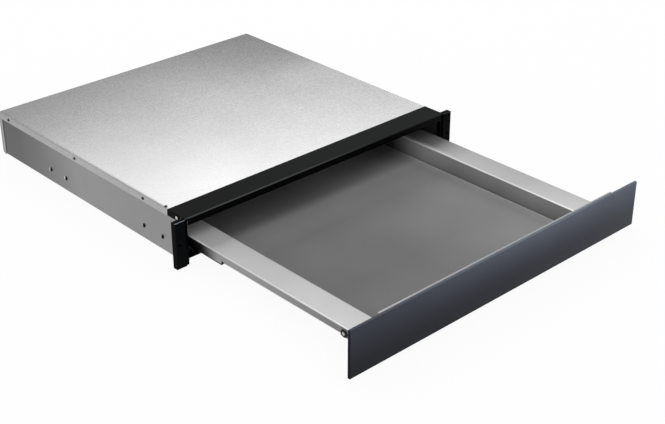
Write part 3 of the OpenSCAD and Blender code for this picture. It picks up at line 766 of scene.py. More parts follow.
# Carrier steel, lightened towards its left end as painted light
CARRIER_STEEL = Brushed(
    "carrier_steel", "stainless", (0.34, 0.352, 0.365), 0.45, metallic=0.55,
    swing=0.06, relief=0.003, along=Axis.X,
    painted_light=(PaintedLightRamp(Axis.X, -241.0, -150.0, 1.3, 1.0),))
# Crossbar and sill black with painted light and shade: darker towards the left, a painted
# highlight along the crossbar's front fold that fades out towards the right, and painted shade
# that makes everything below the top nearly black
BLACK_COAT = Finish(
    "black_coat", "black_paint", (0.0075, 0.008, 0.0085), 0.42, specular=0.03,
    swing=0.15, grain=0.7, relief=0.012,
    painted_light=(PaintedLightRamp(Axis.X, -262.0, -20.0, 0.5, 1.0),
           PaintedLightRamp(Axis.Y, -255.9, -255.3, 15.0, 1.0,
                gates=(PaintedLightRamp(Axis.X, -260.0, 120.0, 1.0, 0.05),)),
           PaintedLightRamp(Axis.Z, 75.2, 75.7, 0.02, 1.0)))
# Post black with a painted highlight along each post's top front edge, painted shade that makes
# the posts nearly black below their tops except on the front face, and the right post darker
# overall
POST_BLACK = Finish(
    "post_black", "black_plastic", (0.0026, 0.003, 0.0035), 0.45, specular=0.02,
    swing=0.2, grain=0.5, relief=0.01,
    painted_light=(PaintedLightRamp(Axis.Y, -256.5, -256.1, 100.0, 1.0),
           PaintedLightRamp(Axis.Z, 74.9, 75.1, 0.01, 1.0),
           PaintedLightRamp(Axis.X, 0.0, 100.0, 1.0, 0.2)))
BLACK_MOULDED = Finish(
    "black_moulded", "black_plastic", (0.004, 0.004, 0.0045), 0.45, specular=0.12,
    swing=0.2, grain=0.5, relief=0.015)
BLACK_OXIDE = Finish(
    "black_oxide", "black_screw", (0.03, 0.03, 0.032), 0.35, metallic=0.6,
    swing=0.2, grain=0.3, relief=0.006)
GREY_MOULDED = Finish(
    "grey_moulded", "grey_plastic", (0.24, 0.25, 0.26), 0.5,
    swing=0.06, grain=0.4, relief=0.01)
BALL = Finish(
    "ball_polish", "ball_steel", (0.78, 0.78, 0.78), 0.10, metallic=1.0,
    swing=0.04, rough_swing=0.03, grain=0.5, relief=0.0)
CAGE = Brushed(
    "cage_strip", "cage_brass", (0.62, 0.50, 0.26), 0.32, metallic=1.0,
    swing=0.08, relief=0.003, run=12.0)

# Mat masks and the mat, with painted light and shade: lighter towards the right, painted light
# along its right rim where the wall's shadow falls, a painted light band before the crossbar and
# a painted shadow under it, painted shade deep inside on the right, and lighter towards the front
MAT_LEFT_HALF = PaintedLightRamp(Axis.X, 0.0, 140.0, 1.0, 0.5)
MAT_RIGHT_HALF = PaintedLightRamp(Axis.X, 0.0, 100.0, 0.0, 1.0)
MAT = Pebbled(
    "mat_pebbles", "mat_grey", (0.17, 0.17, 0.17), 0.82, specular=0.25,
    swing=0.10, rough_swing=0.05, grain=0.9, relief=0.05,
    painted_light=(PaintedLightRamp(Axis.X, -20.0, 200.0, 0.90, 1.36),
           PaintedLightRamp(Axis.X, 192.0, 206.0, 1.0, 1.28),
           PaintedLightRamp(Axis.X, 206.0, 209.5, 1.0, 1.45),
           PaintedLightRamp(Axis.Y, -325.0, -262.0, 1.0, 1.62, gates=(MAT_LEFT_HALF,)),
           PaintedLightRamp(Axis.Y, -262.0, -240.0, 1.0, 0.62, gates=(MAT_LEFT_HALF,)),
           PaintedLightRamp(Axis.Y, -237.0, -200.0, 1.0, 0.4, gates=(PaintedLightRamp(Axis.X, 60.0, 180.0, 0.0, 1.0),)),
           PaintedLightRamp(Axis.Y, -390.0, -320.0, 1.0, 0.84, gates=(MAT_RIGHT_HALF,)),
           PaintedLightRamp(Axis.Y, -280.0, -262.0, 1.0, 1.19, gates=(MAT_RIGHT_HALF,)),
           PaintedLightRamp(Axis.Y, -545.0, -470.0, 1.2, 1.0)))

# Panel mask and the dark glass, with a painted reflection: lighter to the right and upwards, and
# in the upper part lighter from the left end to the middle and darker towards the right end; a
# painted highlight along the top arris; darker within about 1.5 mm of its ends and foot
PANEL_TOP = PaintedLightRamp(Axis.Z, 40.0, 74.0, 0.0, 1.0)
GLASS = Finish(
    "dark_glass", "panel_glass", (0.0240, 0.0268, 0.0345), 0.30, specular=0.05,
    swing=0.06, rough_swing=0.03, grain=0.35, relief=0.0,
    painted_light=(PaintedLightRamp(Axis.X, -297.0, 297.0, 0.82, 1.62),
           PaintedLightRamp(Axis.Z, 6.0, 78.0, 0.80, 1.22),
           PaintedLightRamp(Axis.Z, 25.0, 75.0, 1.0, 1.65),
           PaintedLightRamp(Axis.Z, 15.0, 45.0, 0.88, 1.0),
           PaintedLightRamp(Axis.X, -250.0, 0.0, 1.0, 1.4, gates=(PANEL_TOP,)),
           PaintedLightRamp(Axis.X, 100.0, 290.0, 1.0, 0.85, gates=(PANEL_TOP,)),
           PaintedLightRamp(Axis.X, -296.8, -295.4, 0.25, 1.0),
           PaintedLightRamp(Axis.X, 295.4, 296.8, 1.0, 0.25),
           PaintedLightRamp(Axis.Z, 6.2, 7.8, 0.35, 1.0),
           PaintedLightRamp(Axis.Z, 78.1, 78.6, 1.0, 1.4)))
FOAM = Finish(
    "pad_foam", "foam_pad", (0.04, 0.04, 0.04), 0.9, specular=0.2,
    swing=0.25, grain=0.5, relief=0.06)
SPRING = Finish(
    "spring_wire", "spring_steel", (0.60, 0.60, 0.60), 0.22, metallic=1.0,
    swing=0.06, grain=0.3, relief=0.002)


# Making pieces


@dataclass(frozen=True)
class Edge:
    """How a piece's sharp edges are broken, and what thickness an open skin gets."""

    width: float = 0.0
    angle: float = 50.0
    segments: int = 2
    thicken: float = 0.0


def write_mesh(name: str, shells: list[Shell],
               outward: tuple[float, float, float] | None = None) -> bpy.types.Mesh:
    """Writes shells into one mesh, in metres, merged and with its faces pointing outwards.

    Args:
        name: the mesh's name.
        shells: the surfaces.
        outward: the direction that an open skin faces; a closed shell needs none.

    Returns:
        The mesh.
    """
    starts = np.cumsum([0] + [len(s.points) for s in shells])
    faces = [tuple(i + int(n) for i in f) for s, n in zip(shells, starts) for f in s.faces]
    mesh = bpy.data.meshes.new(name)
    mesh.from_pydata((np.concatenate([s.points for s in shells]) * MM).tolist(), [], faces)
    work = bmesh.new()
    work.from_mesh(mesh)
    bmesh.ops.remove_doubles(work, verts=work.verts, dist=MERGE_MM * MM)
    bmesh.ops.recalc_face_normals(work, faces=work.faces)
    if outward:
        facing = sum(f.calc_area() * f.normal.dot(outward) for f in work.faces)
        if facing < 0:
            bmesh.ops.reverse_faces(work, faces=work.faces)
    work.to_mesh(mesh)
    work.free()
    return mesh


def softened_copy(node: str) -> bpy.types.Mesh:
    """A CAD node's mesh with its triangles merged into flat faces, ready for its edges.

    Args:
        node: the node's name.

    Returns:
        A copy of its mesh.
    """
    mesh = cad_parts[node].data.copy()
    mesh.name = node + "_soft"
    mesh.materials.clear()
    work = bmesh.new()
    work.from_mesh(mesh)
    bmesh.ops.remove_doubles(work, verts=work.verts, dist=MERGE_MM * MM)
    bmesh.ops.dissolve_limit(work, angle_limit=math.radians(FLAT_DEGREES),
                             verts=work.verts, edges=work.edges)
    work.to_mesh(mesh)
    work.free()
    return mesh


def add_piece(name: str, mesh: bpy.types.Mesh, finish: Finish, body: str, stands_for: list[str],
              edge: Edge = Edge()) -> bpy.types.Object:
    """Puts a mesh into the scene as a finished piece.

    Args:
        name: the piece's name.
        mesh: its surface, in metres, in its place.
        finish: what it is made of.
        body: the CAD body that carries it.
        stands_for: CAD nodes that it replaces.
        edge: thickness of a skin and the breaking of edges.

    Returns:
        The new object.
    """
    mesh.polygons.foreach_set("use_smooth", np.ones(len(mesh.polygons), bool))
    mesh.set_sharp_from_angle(angle=math.radians(SHARP_DEGREES))
    piece = bpy.data.objects.new(name, mesh)
    bpy.context.scene.collection.objects.link(piece)
    mesh.materials.append(finish.material())
    if edge.thicken:
        wall = piece.modifiers.new("sheet", "SOLIDIFY")
        wall.thickness = edge.thicken * MM
        wall.offset = -1.0
        wall.use_even_offset = True
    if edge.width:
        rim = piece.modifiers.new("rims", "BEVEL")
        rim.width = edge.width * MM
        rim.segments = edge.segments
        rim.limit_method = "ANGLE"
        rim.angle_limit = math.radians(edge.angle)
        rim.harden_normals = True
    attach(piece, body)
    if stands_for:
        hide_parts(*stands_for)
    log.info("%s rides on %s, %d faces", name, body, len(mesh.polygons))
    return piece


def dress_nodes(finish: Finish, *nodes: str) -> None:
    """Gives CAD nodes whose shape stays as it is their finish.

    Args:
        finish: what they are made of.
        nodes: their names.
    """
    for node in nodes:
        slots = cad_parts[node].data.materials
        slots.clear()
        slots.append(finish.material())
        log.info("%s keeps its solid", node)


# Fasteners


@dataclass(frozen=True)
class Screw:
    """A round-headed machine screw with a cross recess, as the source's sizes give it."""

    head_d: float
    head_h: float
    shank_d: float
    shank_l: float
    around: int = 40
    rings: int = 12
    rim: float = 0.3
    round_share: float = 0.45
    arm_half: float = 0.075
    arm_reach: float = 0.27
    arm_soft: float = 0.04
    recess: float = 0.5
    tip: float = 0.8
    tip_l: float = 0.3

    def turned(self) -> np.ndarray:
        """Rings of the head and shank, seat at z = 0.

        With e the dome's round share, the head's top is h * (1 - e + e * sqrt(1 - (r / R)^2)),
        lowered inside a cross whose arms have half width w and half length a: the recess is
        its depth times a soft step of (w - smaller of |x|, |y|) and of (a - larger of |x|, |y|).

        Returns:
            Points of shape (rings, points in a ring, 3).
        """
        radius = self.head_d / 2
        radii = [radius * k / self.rings for k in range(self.rings, 0, -1)] + [POLE]
        top = lathe(radii, [0.0] * len(radii), self.around)
        x, y = top[..., 0], top[..., 1]
        r = np.minimum(np.hypot(x, y) / radius, 1)
        dome = self.head_h * (1 - self.round_share + self.round_share * np.sqrt(1 - r**2))
        near, far = np.minimum(abs(x), abs(y)), np.maximum(abs(x), abs(y))
        soft = self.arm_soft * self.head_d
        arm = np.clip((self.arm_half * self.head_d - near) / soft, 0, 1)
        reach = np.clip((self.arm_reach * self.head_d - far) / soft, 0, 1)
        top[..., 2] = dome - self.recess * self.head_h * arm * reach
        shank, end = self.shank_d / 2, -self.shank_l
        stem = lathe([POLE, shank * self.tip, shank, shank, radius, radius],
                     [end, end, end + self.tip_l, 0, 0, self.rim * self.head_h], self.around)
        return np.concatenate([stem, top])

    def at(self, x: float, depth: float, z: float, facing: Facing) -> Shell:
        """This screw at a place.

        Args:
            x: its seat's place across the housing.
            depth: its seat's depth.
            z: its seat's height.
            facing: where its head points.

        Returns:
            The screw's closed surface.
        """
        rings = self.turned()
        flat = facing.turn(rings.reshape(-1, 3), (x, PLAN.y(depth), z))
        return loft(flat.reshape(rings.shape))

    def pair(self, x: float, depth: float, z: float, facing: Facing) -> list[Shell]:
        """This screw on the left side and its mirror image on the right."""
        left = self.at(-x, depth, z, facing)
        return [left, left.mirrored()]


# Housing


@dataclass
class Housing:
    """The folded steel box that stands in the cabinet, with its fasteners."""

    lip: float = 11.0
    cover_radius: float = 3.5
    flange: float = 11.4
    base: float = 1.0
    bend: float = 1.6
    post_depth: float = 9.0
    tab_end: float = 286.0
    setback: float = 16.5
    base_corner: float = 2.0
    base_rim: float = 0.2
    tongue: tuple[float, float] = (28.0, 50.0)
    tongue_corner: float = 1.0
    tongue_rim: float = 0.1
    small: Screw = Screw(head_d=5.0, head_h=1.2, shank_d=2.6, shank_l=4.0)
    long: Screw = Screw(head_d=5.0, head_h=1.2, shank_d=2.6, shank_l=4.5)
    large: Screw = Screw(head_d=7.0, head_h=1.8, shank_d=4.0, shank_l=5.2)
    cover_screws: tuple[float, ...] = (102.0, 284.0, 481.0)
    cover_screw_drop: float = 5.5
    top_screw: tuple[float, float] = (-266.0, 50.0)
    bar_screw: float = 19.0
    bar_screw_drop: float = 5.0
    post_screws: tuple[float, ...] = (19.0, 57.0)
    post_screw_x: float = 276.0
    cover_edge: Edge = Edge(width=0.15, thicken=PLAN.sheet)
    sheet_edge: Edge = Edge(width=0.12)
    sill_edge: Edge = Edge(width=0.2)

    def build(self) -> None:
        """Makes every piece of the housing."""
        self.cover()
        for side in Side:
            self.side_panel(side)
        self.rear()
        self.floor()
        self.screws()

    def cover(self) -> None:
        """Top cover: its outer face, folded down at both sides and at the rear.

        Across X it is the outer line of the section, carried from the crossbar to where the
        rear fold begins. The rear fold is the same arc turned into Y, between the side folds.
        """
        half, top = PLAN.half_width, PLAN.height
        mid = top - PLAN.sheet / 2
        edge_x, low = half - PLAN.sheet / 2, top - self.lip
        centre_r = self.cover_radius - PLAN.sheet / 2
        across = fold_line([(-edge_x, low), (-edge_x, mid), (edge_x, mid), (edge_x, low)],
                           PLAN.sheet / 2, centre_r)
        rows = PLAN.y(np.array([PLAN.bar_depth, PLAN.depth - self.cover_radius]))
        body = np.stack([Axis.Y.place(across, y) for y in rows])
        rear = fold_line([(PLAN.depth - 2 * self.cover_radius, mid),
                          (PLAN.depth - PLAN.sheet / 2, mid), (PLAN.depth - PLAN.sheet / 2, low)],
                         PLAN.sheet / 2, centre_r)[1:]
        rear[:, 0] = PLAN.y(rear[:, 0])
        flat_x = half - self.cover_radius
        fold = np.stack([Axis.X.place(rear, x) for x in (-flat_x, flat_x)], 1)
        mesh = write_mesh("cover_skin", [skin([body, fold])], outward=(0, 0, 1))
        add_piece("cover_skin", mesh, COVER, "housing", ["top_cover"], self.cover_edge)
        tongue_x = half - 3 * PLAN.sheet - self.flange
        under, (start, stop) = top - PLAN.sheet, self.tongue
        tongue = plate((-tongue_x, PLAN.y(start), under - PLAN.sheet),
                       (tongue_x, PLAN.y(stop), under), self.tongue_corner, self.tongue_rim)
        add_piece("cover_tongue", write_mesh("cover_tongue", [tongue]), COVER,
                  "housing", [])

    def side_panel(self, side: Side) -> None:
        """A side: wall with a flange at its foot and head, and one turned out at its front.

        Args:
            side: which of the two.
        """
        half, t = PLAN.half_width, PLAN.sheet
        wall_x = half - 1.5 * t
        low, high = self.base + t / 2, PLAN.height - 1.5 * t
        flange_x = half - 2 * t - self.flange
        radius = self.cover_radius - t
        start = self.post_depth + self.bend
        tube = sheet([(-flange_x, low), (-wall_x, low), (-wall_x, high), (-flange_x, high)],
                     t, radius, Axis.Y, PLAN.y(start), PLAN.y(PLAN.depth - self.cover_radius))
        face_y = self.post_depth + t / 2
        tab = sheet([(-wall_x, PLAN.y(start)), (-wall_x, PLAN.y(face_y)),
                     (-self.tab_end, PLAN.y(face_y))], t, self.bend, Axis.Z,
                    self.base + self.bend, PLAN.height - t - self.bend)
        mesh = write_mesh("side_" + side.word, [tube.on(side), tab.on(side)])
        sheets = [part + side.word for part in ("side_panel_", "side_flanges_", "side_tab_")]
        add_piece("side_wall_" + side.word, mesh, SIDE, "housing", sheets, self.sheet_edge)

    def rear(self) -> None:
        """Rear panel, whose returns wrap onto the sides with their lower corners cut off."""
        add_piece("rear_wall", softened_copy("rear_panel"), REAR, "housing", ["rear_panel"],
                  self.sheet_edge)

    def floor(self) -> None:
        """Base plate and the black strip on its front edge."""
        in_x = PLAN.half_width - 2 * PLAN.sheet - self.bend
        rear_in = PLAN.depth - 2 * PLAN.sheet
        base = plate((-in_x, PLAN.y(self.setback + PLAN.sheet), 0),
                     (in_x, PLAN.y(rear_in), self.base), self.base_corner, self.base_rim)
        add_piece("base_sheet", write_mesh("base_sheet", [base]), BASE, "housing",
                  ["base_plate"])
        add_piece("sill_strip", softened_copy("front_sill"), BLACK_COAT, "housing",
                  ["front_sill"], self.sill_edge)

    def screws(self) -> None:
        """Screws of the cover, crossbar, posts and slides, and the slides' nuts."""
        half, top = PLAN.half_width, PLAN.height
        cover = [s for depth in self.cover_screws
                 for s in self.small.pair(half, depth, top - self.cover_screw_drop, Facing.LEFT)]
        cover.append(self.small.at(*self.top_screw, top, Facing.UP))
        bar = self.small.pair(half, self.bar_screw, top - self.bar_screw_drop, Facing.LEFT)
        seat = self.post_depth + PLAN.sheet
        post = [s for z in self.post_screws
                for s in self.long.pair(self.post_screw_x, seat, z, Facing.BACK)]
        slide = [s for depth in PLAN.slide_screws for s in
                 self.large.pair(half - PLAN.sheet, depth, PLAN.slide_height, Facing.LEFT)]
        for name, shells, finish in (("cover_screws", cover, BLACK_OXIDE),
                                     ("crossbar_screws", bar, ZINC),
                                     ("post_screws", post, ZINC),
                                     ("slide_screws", slide, SCREW_ZINC)):
            add_piece(name + "_turned", write_mesh(name, shells), finish, "housing",
                      [name])
        dress_nodes(ZINC, "slide_nuts")


@dataclass
class FrontFrame:
    """The black crossbar over the mouth and the two black posts beside it."""

    lip: float = 11.9
    end_lip: float = 10.0
    end_start: float = 12.2
    lip_half: float = 264.4
    bend: float = 1.6
    gap: float = 0.2
    bar_edge: Edge = Edge(width=0.15, thicken=PLAN.sheet)
    post_edge: Edge = Edge(width=0.45, segments=3, angle=40)

    def build(self) -> None:
        """Makes the crossbar and the posts."""
        self.crossbar()
        for side in Side:
            node = "front_post_" + side.word
            add_piece("post_" + side.word, softened_copy(node), POST_BLACK, "housing", [node],
                      self.post_edge)

    def crossbar(self) -> None:
        """The crossbar's outer face: a flat top with arcs down to its front and end lips.

        The top is a grid over the places where a fold starts or ends, the front fold runs
        between the posts' inner edges, and each end fold runs behind the post.
        """
        half, top = PLAN.half_width, PLAN.height
        back = PLAN.bar_depth - self.gap
        arc_x = half - self.bend
        q = np.linspace(0, QUARTER, ARC_STEPS + 1)
        run = np.append(self.bend * (1 - np.sin(q)), 0.0)
        front_z = np.append(top - self.bend * (1 - np.cos(q)), top - self.lip)
        end_z = np.append(top - self.bend * (1 - np.cos(q)), top - self.end_lip)

        def flat(xs: list[float], depths: list[float]) -> np.ndarray:
            """A level grid at the crossbar's top."""
            x, y = np.meshgrid(xs, PLAN.y(np.array(depths, float)))
            return np.stack([x, y, 0 * x + top], -1)

        grids = [flat([-arc_x, -self.lip_half, self.lip_half, arc_x],
                      [self.bend, self.end_start, back])]
        front = Axis.X.place(np.stack([PLAN.y(run), front_z], 1), 0.0)
        grids.append(np.stack([front + (x, 0, 0) for x in (-self.lip_half, self.lip_half)]))
        for s in (-1, 1):
            side_line = np.stack([s * (half - run), end_z], 1)
            grids.append(np.stack([Axis.Y.place(side_line, PLAN.y(d))
                                   for d in (self.end_start, back)]))
            inner, outer = s * self.lip_half, s * arc_x
            grids.append(flat([inner, outer], [0.0, self.bend]))
            grids.append(flat([outer, s * (half - PLAN.sheet)], [0.0, self.bend]))
            grids.append(flat([outer, s * (half - PLAN.sheet)], [self.bend, self.end_start]))
        mesh = write_mesh("crossbar_skin", [skin(grids)], outward=(0, 0, 1))
        add_piece("crossbar_skin", mesh, BLACK_COAT, "housing", ["front_crossbar"],
                  self.bar_edge)


# Slides


@dataclass(frozen=True)
class Channel:
    """A channel section at the left slide.

    height is over its flanges, near and far lead from the outer member's back to this
    one's back and to its flanges' ends, and span holds the depths of its two ends.
    """

    height: float
    thick: float
    near: float
    far: float
    radius: float
    span: tuple[float, float]

    def shell(self) -> Shell:
        """The member, as a sheet folded twice.

        Returns:
            Its closed surface.
        """
        reach = (self.height - self.thick) / 2
        web = self.near + math.copysign(self.thick / 2, self.far - self.near)
        back, z = -PLAN.slide_back, PLAN.slide_height
        path = [(back + self.far, z - reach), (back + web, z - reach),
                (back + web, z + reach), (back + self.far, z + reach)]
        start, stop = self.span
        return sheet(path, self.thick, self.radius, Axis.Y, PLAN.y(start), PLAN.y(stop))


@dataclass
class Slides:
    """Two telescopic slides: outer, middle and inner members, cages, balls and brackets."""

    outer: Channel = Channel(height=24.6, thick=1.0, near=0.0, far=8.6, radius=1.6,
                             span=(45.0, 445.0))
    middle: Channel = Channel(height=16.2, thick=0.9, near=2.0, far=8.0, radius=1.3,
                              span=(-53.5, 242.5))
    inner: Channel = Channel(height=9.2, thick=0.8, near=9.8, far=4.6, radius=1.2,
                             span=(-348.0, 60.0))
    hanger_x: float = 241.8
    hanger_sheet: float = 1.0
    hanger_bend: float = 1.6
    hanger_drop: float = 6.1
    hanger_reach: float = 18.3
    stop_span: tuple[float, float] = (423.35, 437.35)
    stop_height: float = 21.4
    stop_corner: float = 1.0
    stop_rim: float = 0.4
    member_edge: Edge = Edge(width=0.15)

    def hanger(self) -> Shell:
        """The strip that ties the inner member to the ledge above it.

        Returns:
            The left strip's closed surface.
        """
        half = self.hanger_sheet / 2
        x, top = -self.hanger_x + half, PLAN.ledge_top - PLAN.sheet - half
        path = [(x, PLAN.slide_height - self.hanger_drop), (x, top),
                (-self.hanger_x + self.hanger_reach, top)]
        start, stop = self.inner.span
        return sheet(path, self.hanger_sheet, self.hanger_bend, Axis.Y, PLAN.y(start),
                     PLAN.y(stop))

    def build(self) -> None:
        """Makes both slides."""
        shapes = {
            "slide_outer": (self.outer.shell(), "housing"),
            "slide_middle": (self.middle.shell(), "middle"),
            "slide_inner": (self.inner.shell(), "drawer"),
            "slide_hanger": (self.hanger(), "drawer"),
        }
        for side in Side:
            for name, (shell, body) in shapes.items():
                node = name + "_" + side.word
                rides = body + "_" + side.word if body == "middle" else body
                # The middle members take the darker zinc that paints their shade.
                finish = MEMBER_ZINC if body == "middle" else ZINC
                add_piece(node + "_rolled", write_mesh(node, [shell.on(side)]), finish,
                          rides, [node], self.member_edge)
            node = "slide_brackets_" + side.word
            add_piece(node + "_bent", softened_copy(node), ZINC, "housing", [node],
                      self.member_edge)
            dress_nodes(CAGE, "ball_cage_outer_" + side.word, "ball_cage_inner_" + side.word)
            dress_nodes(BALL, "balls_outer_" + side.word, "balls_inner_" + side.word)
        self.stops()

    def stops(self) -> None:
        """Plastic stops in the outer members' rear ends."""
        low = PLAN.slide_height - self.stop_height / 2
        start, end = self.stop_span
        stop = plate((-PLAN.slide_back + self.outer.thick, PLAN.y(start), low),
                     (-PLAN.slide_back + self.outer.far, PLAN.y(end), low + self.stop_height),
                     self.stop_corner, self.stop_rim, Axis.Y)
        mesh = write_mesh("slide_stops", [stop, stop.mirrored()])
        add_piece("slide_stops", mesh, BLACK_MOULDED, "housing", ["slide_buffers"])


# Tray


@dataclass
class Tray:
    """The steel tray: sides with ledges, floor, back, mat and the latch's striker."""

    ledge_lip: float = 11.2
    radius: float = 2.4
    floor_half: float = 210.7
    floor_gap: float = 0.2
    floor_corner: float = 1.0
    floor_rim: float = 0.15
    web_corner: float = 0.5
    web_rim: float = 0.1
    foot: float = 11.4
    back_flange: float = 12.0
    back_bend: float = 1.6
    mat_half: float = 210.5
    mat_thick: float = 1.2
    mat_gap: float = 2.0
    mat_corner: float = 3.0
    mat_rim: float = 0.35
    striker_half: float = 12.0
    striker: tuple[float, float] = (15.5, 29.5)
    striker_thick: float = 1.5
    striker_corner: float = 1.5
    striker_rim: float = 0.3
    sheet_edge: Edge = Edge(width=0.12)

    def build(self) -> None:
        """Makes every piece of the tray."""
        t = PLAN.sheet
        for side in Side:
            self.tray_side(side)
        z = PLAN.tray_under + t
        floor = plate((-self.floor_half, PLAN.y(PLAN.tray_front + self.floor_gap), z),
                      (self.floor_half, PLAN.y(PLAN.tray_rear), z + t),
                      self.floor_corner, self.floor_rim)
        add_piece("tray_bottom", write_mesh("tray_bottom", [floor]), STEEL, "drawer",
                  ["tray_floor"])
        self.back(z + t)
        self.mat(z + t)
        low, high = self.striker
        striker = plate((-self.striker_half, PLAN.y(PLAN.tray_rear), low),
                        (self.striker_half, PLAN.y(PLAN.tray_rear + self.striker_thick), high),
                        self.striker_corner, self.striker_rim, Axis.Y)
        add_piece("striker_plate", write_mesh("striker_plate", [striker]), ZINC,
                  "drawer", ["latch_striker"])

    def tray_side(self, side: Side) -> None:
        """One folded side: outer lip, ledge, inner wall and the flange under the floor.

        Args:
            side: which of the two.
        """
        t = PLAN.sheet
        out_x, in_x = -PLAN.ledge_out + t / 2, -PLAN.ledge_in - t / 2
        top, low = PLAN.ledge_top - t / 2, PLAN.tray_under + t / 2
        path = [(out_x, PLAN.ledge_top - self.ledge_lip), (out_x, top), (in_x, top),
                (in_x, low), (-PLAN.ledge_in + self.foot, low)]
        fold = sheet(path, t, self.radius, Axis.Y, PLAN.y(PLAN.tray_front),
                     PLAN.y(PLAN.tray_rear))
        web = plate((-PLAN.ledge_out + self.radius, PLAN.y(PLAN.tray_front), PLAN.tray_under + t),
                    (in_x, PLAN.y(PLAN.tray_front + t), top),
                    self.web_corner, self.web_rim, Axis.Y)
        mesh = write_mesh("tray_side_" + side.word, [fold.on(side), web.on(side)])
        add_piece("tray_ledge_" + side.word, mesh, STEEL, "drawer",
                  ["tray_side_" + side.word], self.sheet_edge)

    def back(self, z: float) -> None:
        """The tray's back, folded up from a flange on the floor.

        Args:
            z: the floor's top.
        """
        t = PLAN.sheet
        rear = PLAN.tray_rear - t / 2
        foot = sheet([(PLAN.y(PLAN.tray_rear - self.back_flange), z + t / 2),
                      (PLAN.y(rear), z + t / 2), (PLAN.y(rear), PLAN.ledge_top)],
                     t, self.back_bend, Axis.X, -self.floor_half, self.floor_half)
        mesh = write_mesh("tray_rear", [foot])
        add_piece("tray_rear", mesh, STEEL_ACROSS, "drawer", ["tray_back"], self.sheet_edge)

    def mat(self, z: float) -> None:
        """The grey mat, a thin sheet with soft rims and rounded corners.

        Args:
            z: the floor's top.
        """
        mat = plate((-self.mat_half, PLAN.y(PLAN.tray_front + self.mat_gap), z),
                    (self.mat_half, PLAN.y(PLAN.tray_rear - self.back_flange - self.mat_gap),
                     z + self.mat_thick), self.mat_corner, self.mat_rim)
        add_piece("mat_sheet", write_mesh("mat_sheet", [mat]), MAT, "drawer",
                  ["tray_mat"])


# Front panel


@dataclass
class Front:
    """The dark front, its pads, steel carrier, brackets and screws."""

    half: float = 297.0
    low: float = 5.8
    height: float = 73.1
    thick: float = 4.0
    corner: float = 1.2
    arris: float = 0.5
    carrier_half: float = 241.0
    carrier_sheet: float = 1.2
    carrier_drop: float = 0.6
    carrier_bend: float = 2.0
    carrier_reach: float = 4.0
    pad: float = 1.0
    carrier_screw: Screw = Screw(head_d=5.0, head_h=1.2, shank_d=2.6, shank_l=2.0)
    carrier_screws: tuple[tuple[float, float], ...] = ((226.0, 13.5), (236.0, 28.0))
    bracket_screw: Screw = Screw(head_d=5.0, head_h=1.2, shank_d=2.6, shank_l=3.5)
    bracket_screw_depth: float = 48.0
    bracket_screw_z: float = 32.2
    bracket_sheet: float = 1.2
    washer_d: float = 12.0
    washer_hole: float = 2.8
    washer_thick: float = 1.0
    washer_rim: float = 0.25
    steel_edge: Edge = Edge(width=0.2)

    def build(self) -> None:
        """Makes the front panel and what holds it to the tray."""
        back = PLAN.panel_back
        panel = plate((-self.half, PLAN.y(back - self.thick), self.low),
                      (self.half, PLAN.y(back), self.low + self.height),
                      self.corner, self.arris, Axis.Y)
        add_piece("dark_front", write_mesh("dark_front", [panel]), GLASS, "drawer",
                  ["front_panel"])
        self.carrier()
        dress_nodes(FOAM, "panel_pads")
        self.screws()
        for side in Side:
            node = "panel_bracket_" + side.word
            add_piece(node + "_bent", softened_copy(node), STEEL, "drawer", [node],
                      self.steel_edge)

    def carrier(self) -> None:
        """The steel carrier: an upright sheet whose top is folded towards the tray."""
        half = self.carrier_sheet / 2
        y = PLAN.y(PLAN.panel_back + self.pad + half)
        low = PLAN.tray_under + 2 * PLAN.sheet
        top = self.low + self.height - self.carrier_drop - half
        fold = sheet([(y, low), (y, top), (PLAN.y(PLAN.panel_back + self.carrier_reach), top)],
                     self.carrier_sheet, self.carrier_bend, Axis.X, -self.carrier_half,
                     self.carrier_half)
        add_piece("carrier_sheet", write_mesh("carrier_sheet", [fold]), CARRIER_STEEL,
                  "drawer", ["panel_carrier"], self.steel_edge)

    def screws(self) -> None:
        """The carrier's screws, and the side brackets' bright screws on black washers."""
        seat = PLAN.tray_front + PLAN.sheet
        inner = [s for x, z in self.carrier_screws
                 for s in self.carrier_screw.pair(x, seat, z, Facing.BACK)]
        add_piece("carrier_screws_turned", write_mesh("carrier_screws", inner), ZINC,
                  "drawer", ["carrier_screws"])
        depth = PLAN.panel_back + self.bracket_screw_depth
        face, z = PLAN.ledge_out + self.bracket_sheet, self.bracket_screw_z
        outer = self.bracket_screw.pair(face + self.washer_thick, depth, z, Facing.LEFT)
        add_piece("bracket_screws_turned", write_mesh("bracket_screws", outer),
                  BRIGHT_ZINC, "drawer", ["bracket_screws"])
        washer = self.washer(-face, depth, z)
        mesh = write_mesh("bracket_washers", [washer, washer.mirrored()])
        add_piece("bracket_washers_turned", mesh, BLACK_MOULDED, "drawer", ["bracket_washers"])

    def washer(self, x: float, depth: float, z: float) -> Shell:
        """The left washer, turned about X with its rims cut off at an angle.

        Args:
            x: place of its seat.
            depth: depth of its axis.
            z: height of its axis.

        Returns:
            The washer's closed surface.
        """
        hole, out, rim, thick = (self.washer_hole / 2, self.washer_d / 2, self.washer_rim,
                                 self.washer_thick)
        ring = lathe([hole, out - rim, out, out, out - rim, hole, hole],
                     [0, 0, rim, thick - rim, thick, thick, 0])
        turned = Facing.LEFT.turn(ring.reshape(-1, 3), (x, PLAN.y(depth), z))
        quads = grid_faces(ring.shape[0], ring.shape[1], closed=True)
        return Shell(turned, [tuple(q) for q in quads.tolist()])


# Push latch


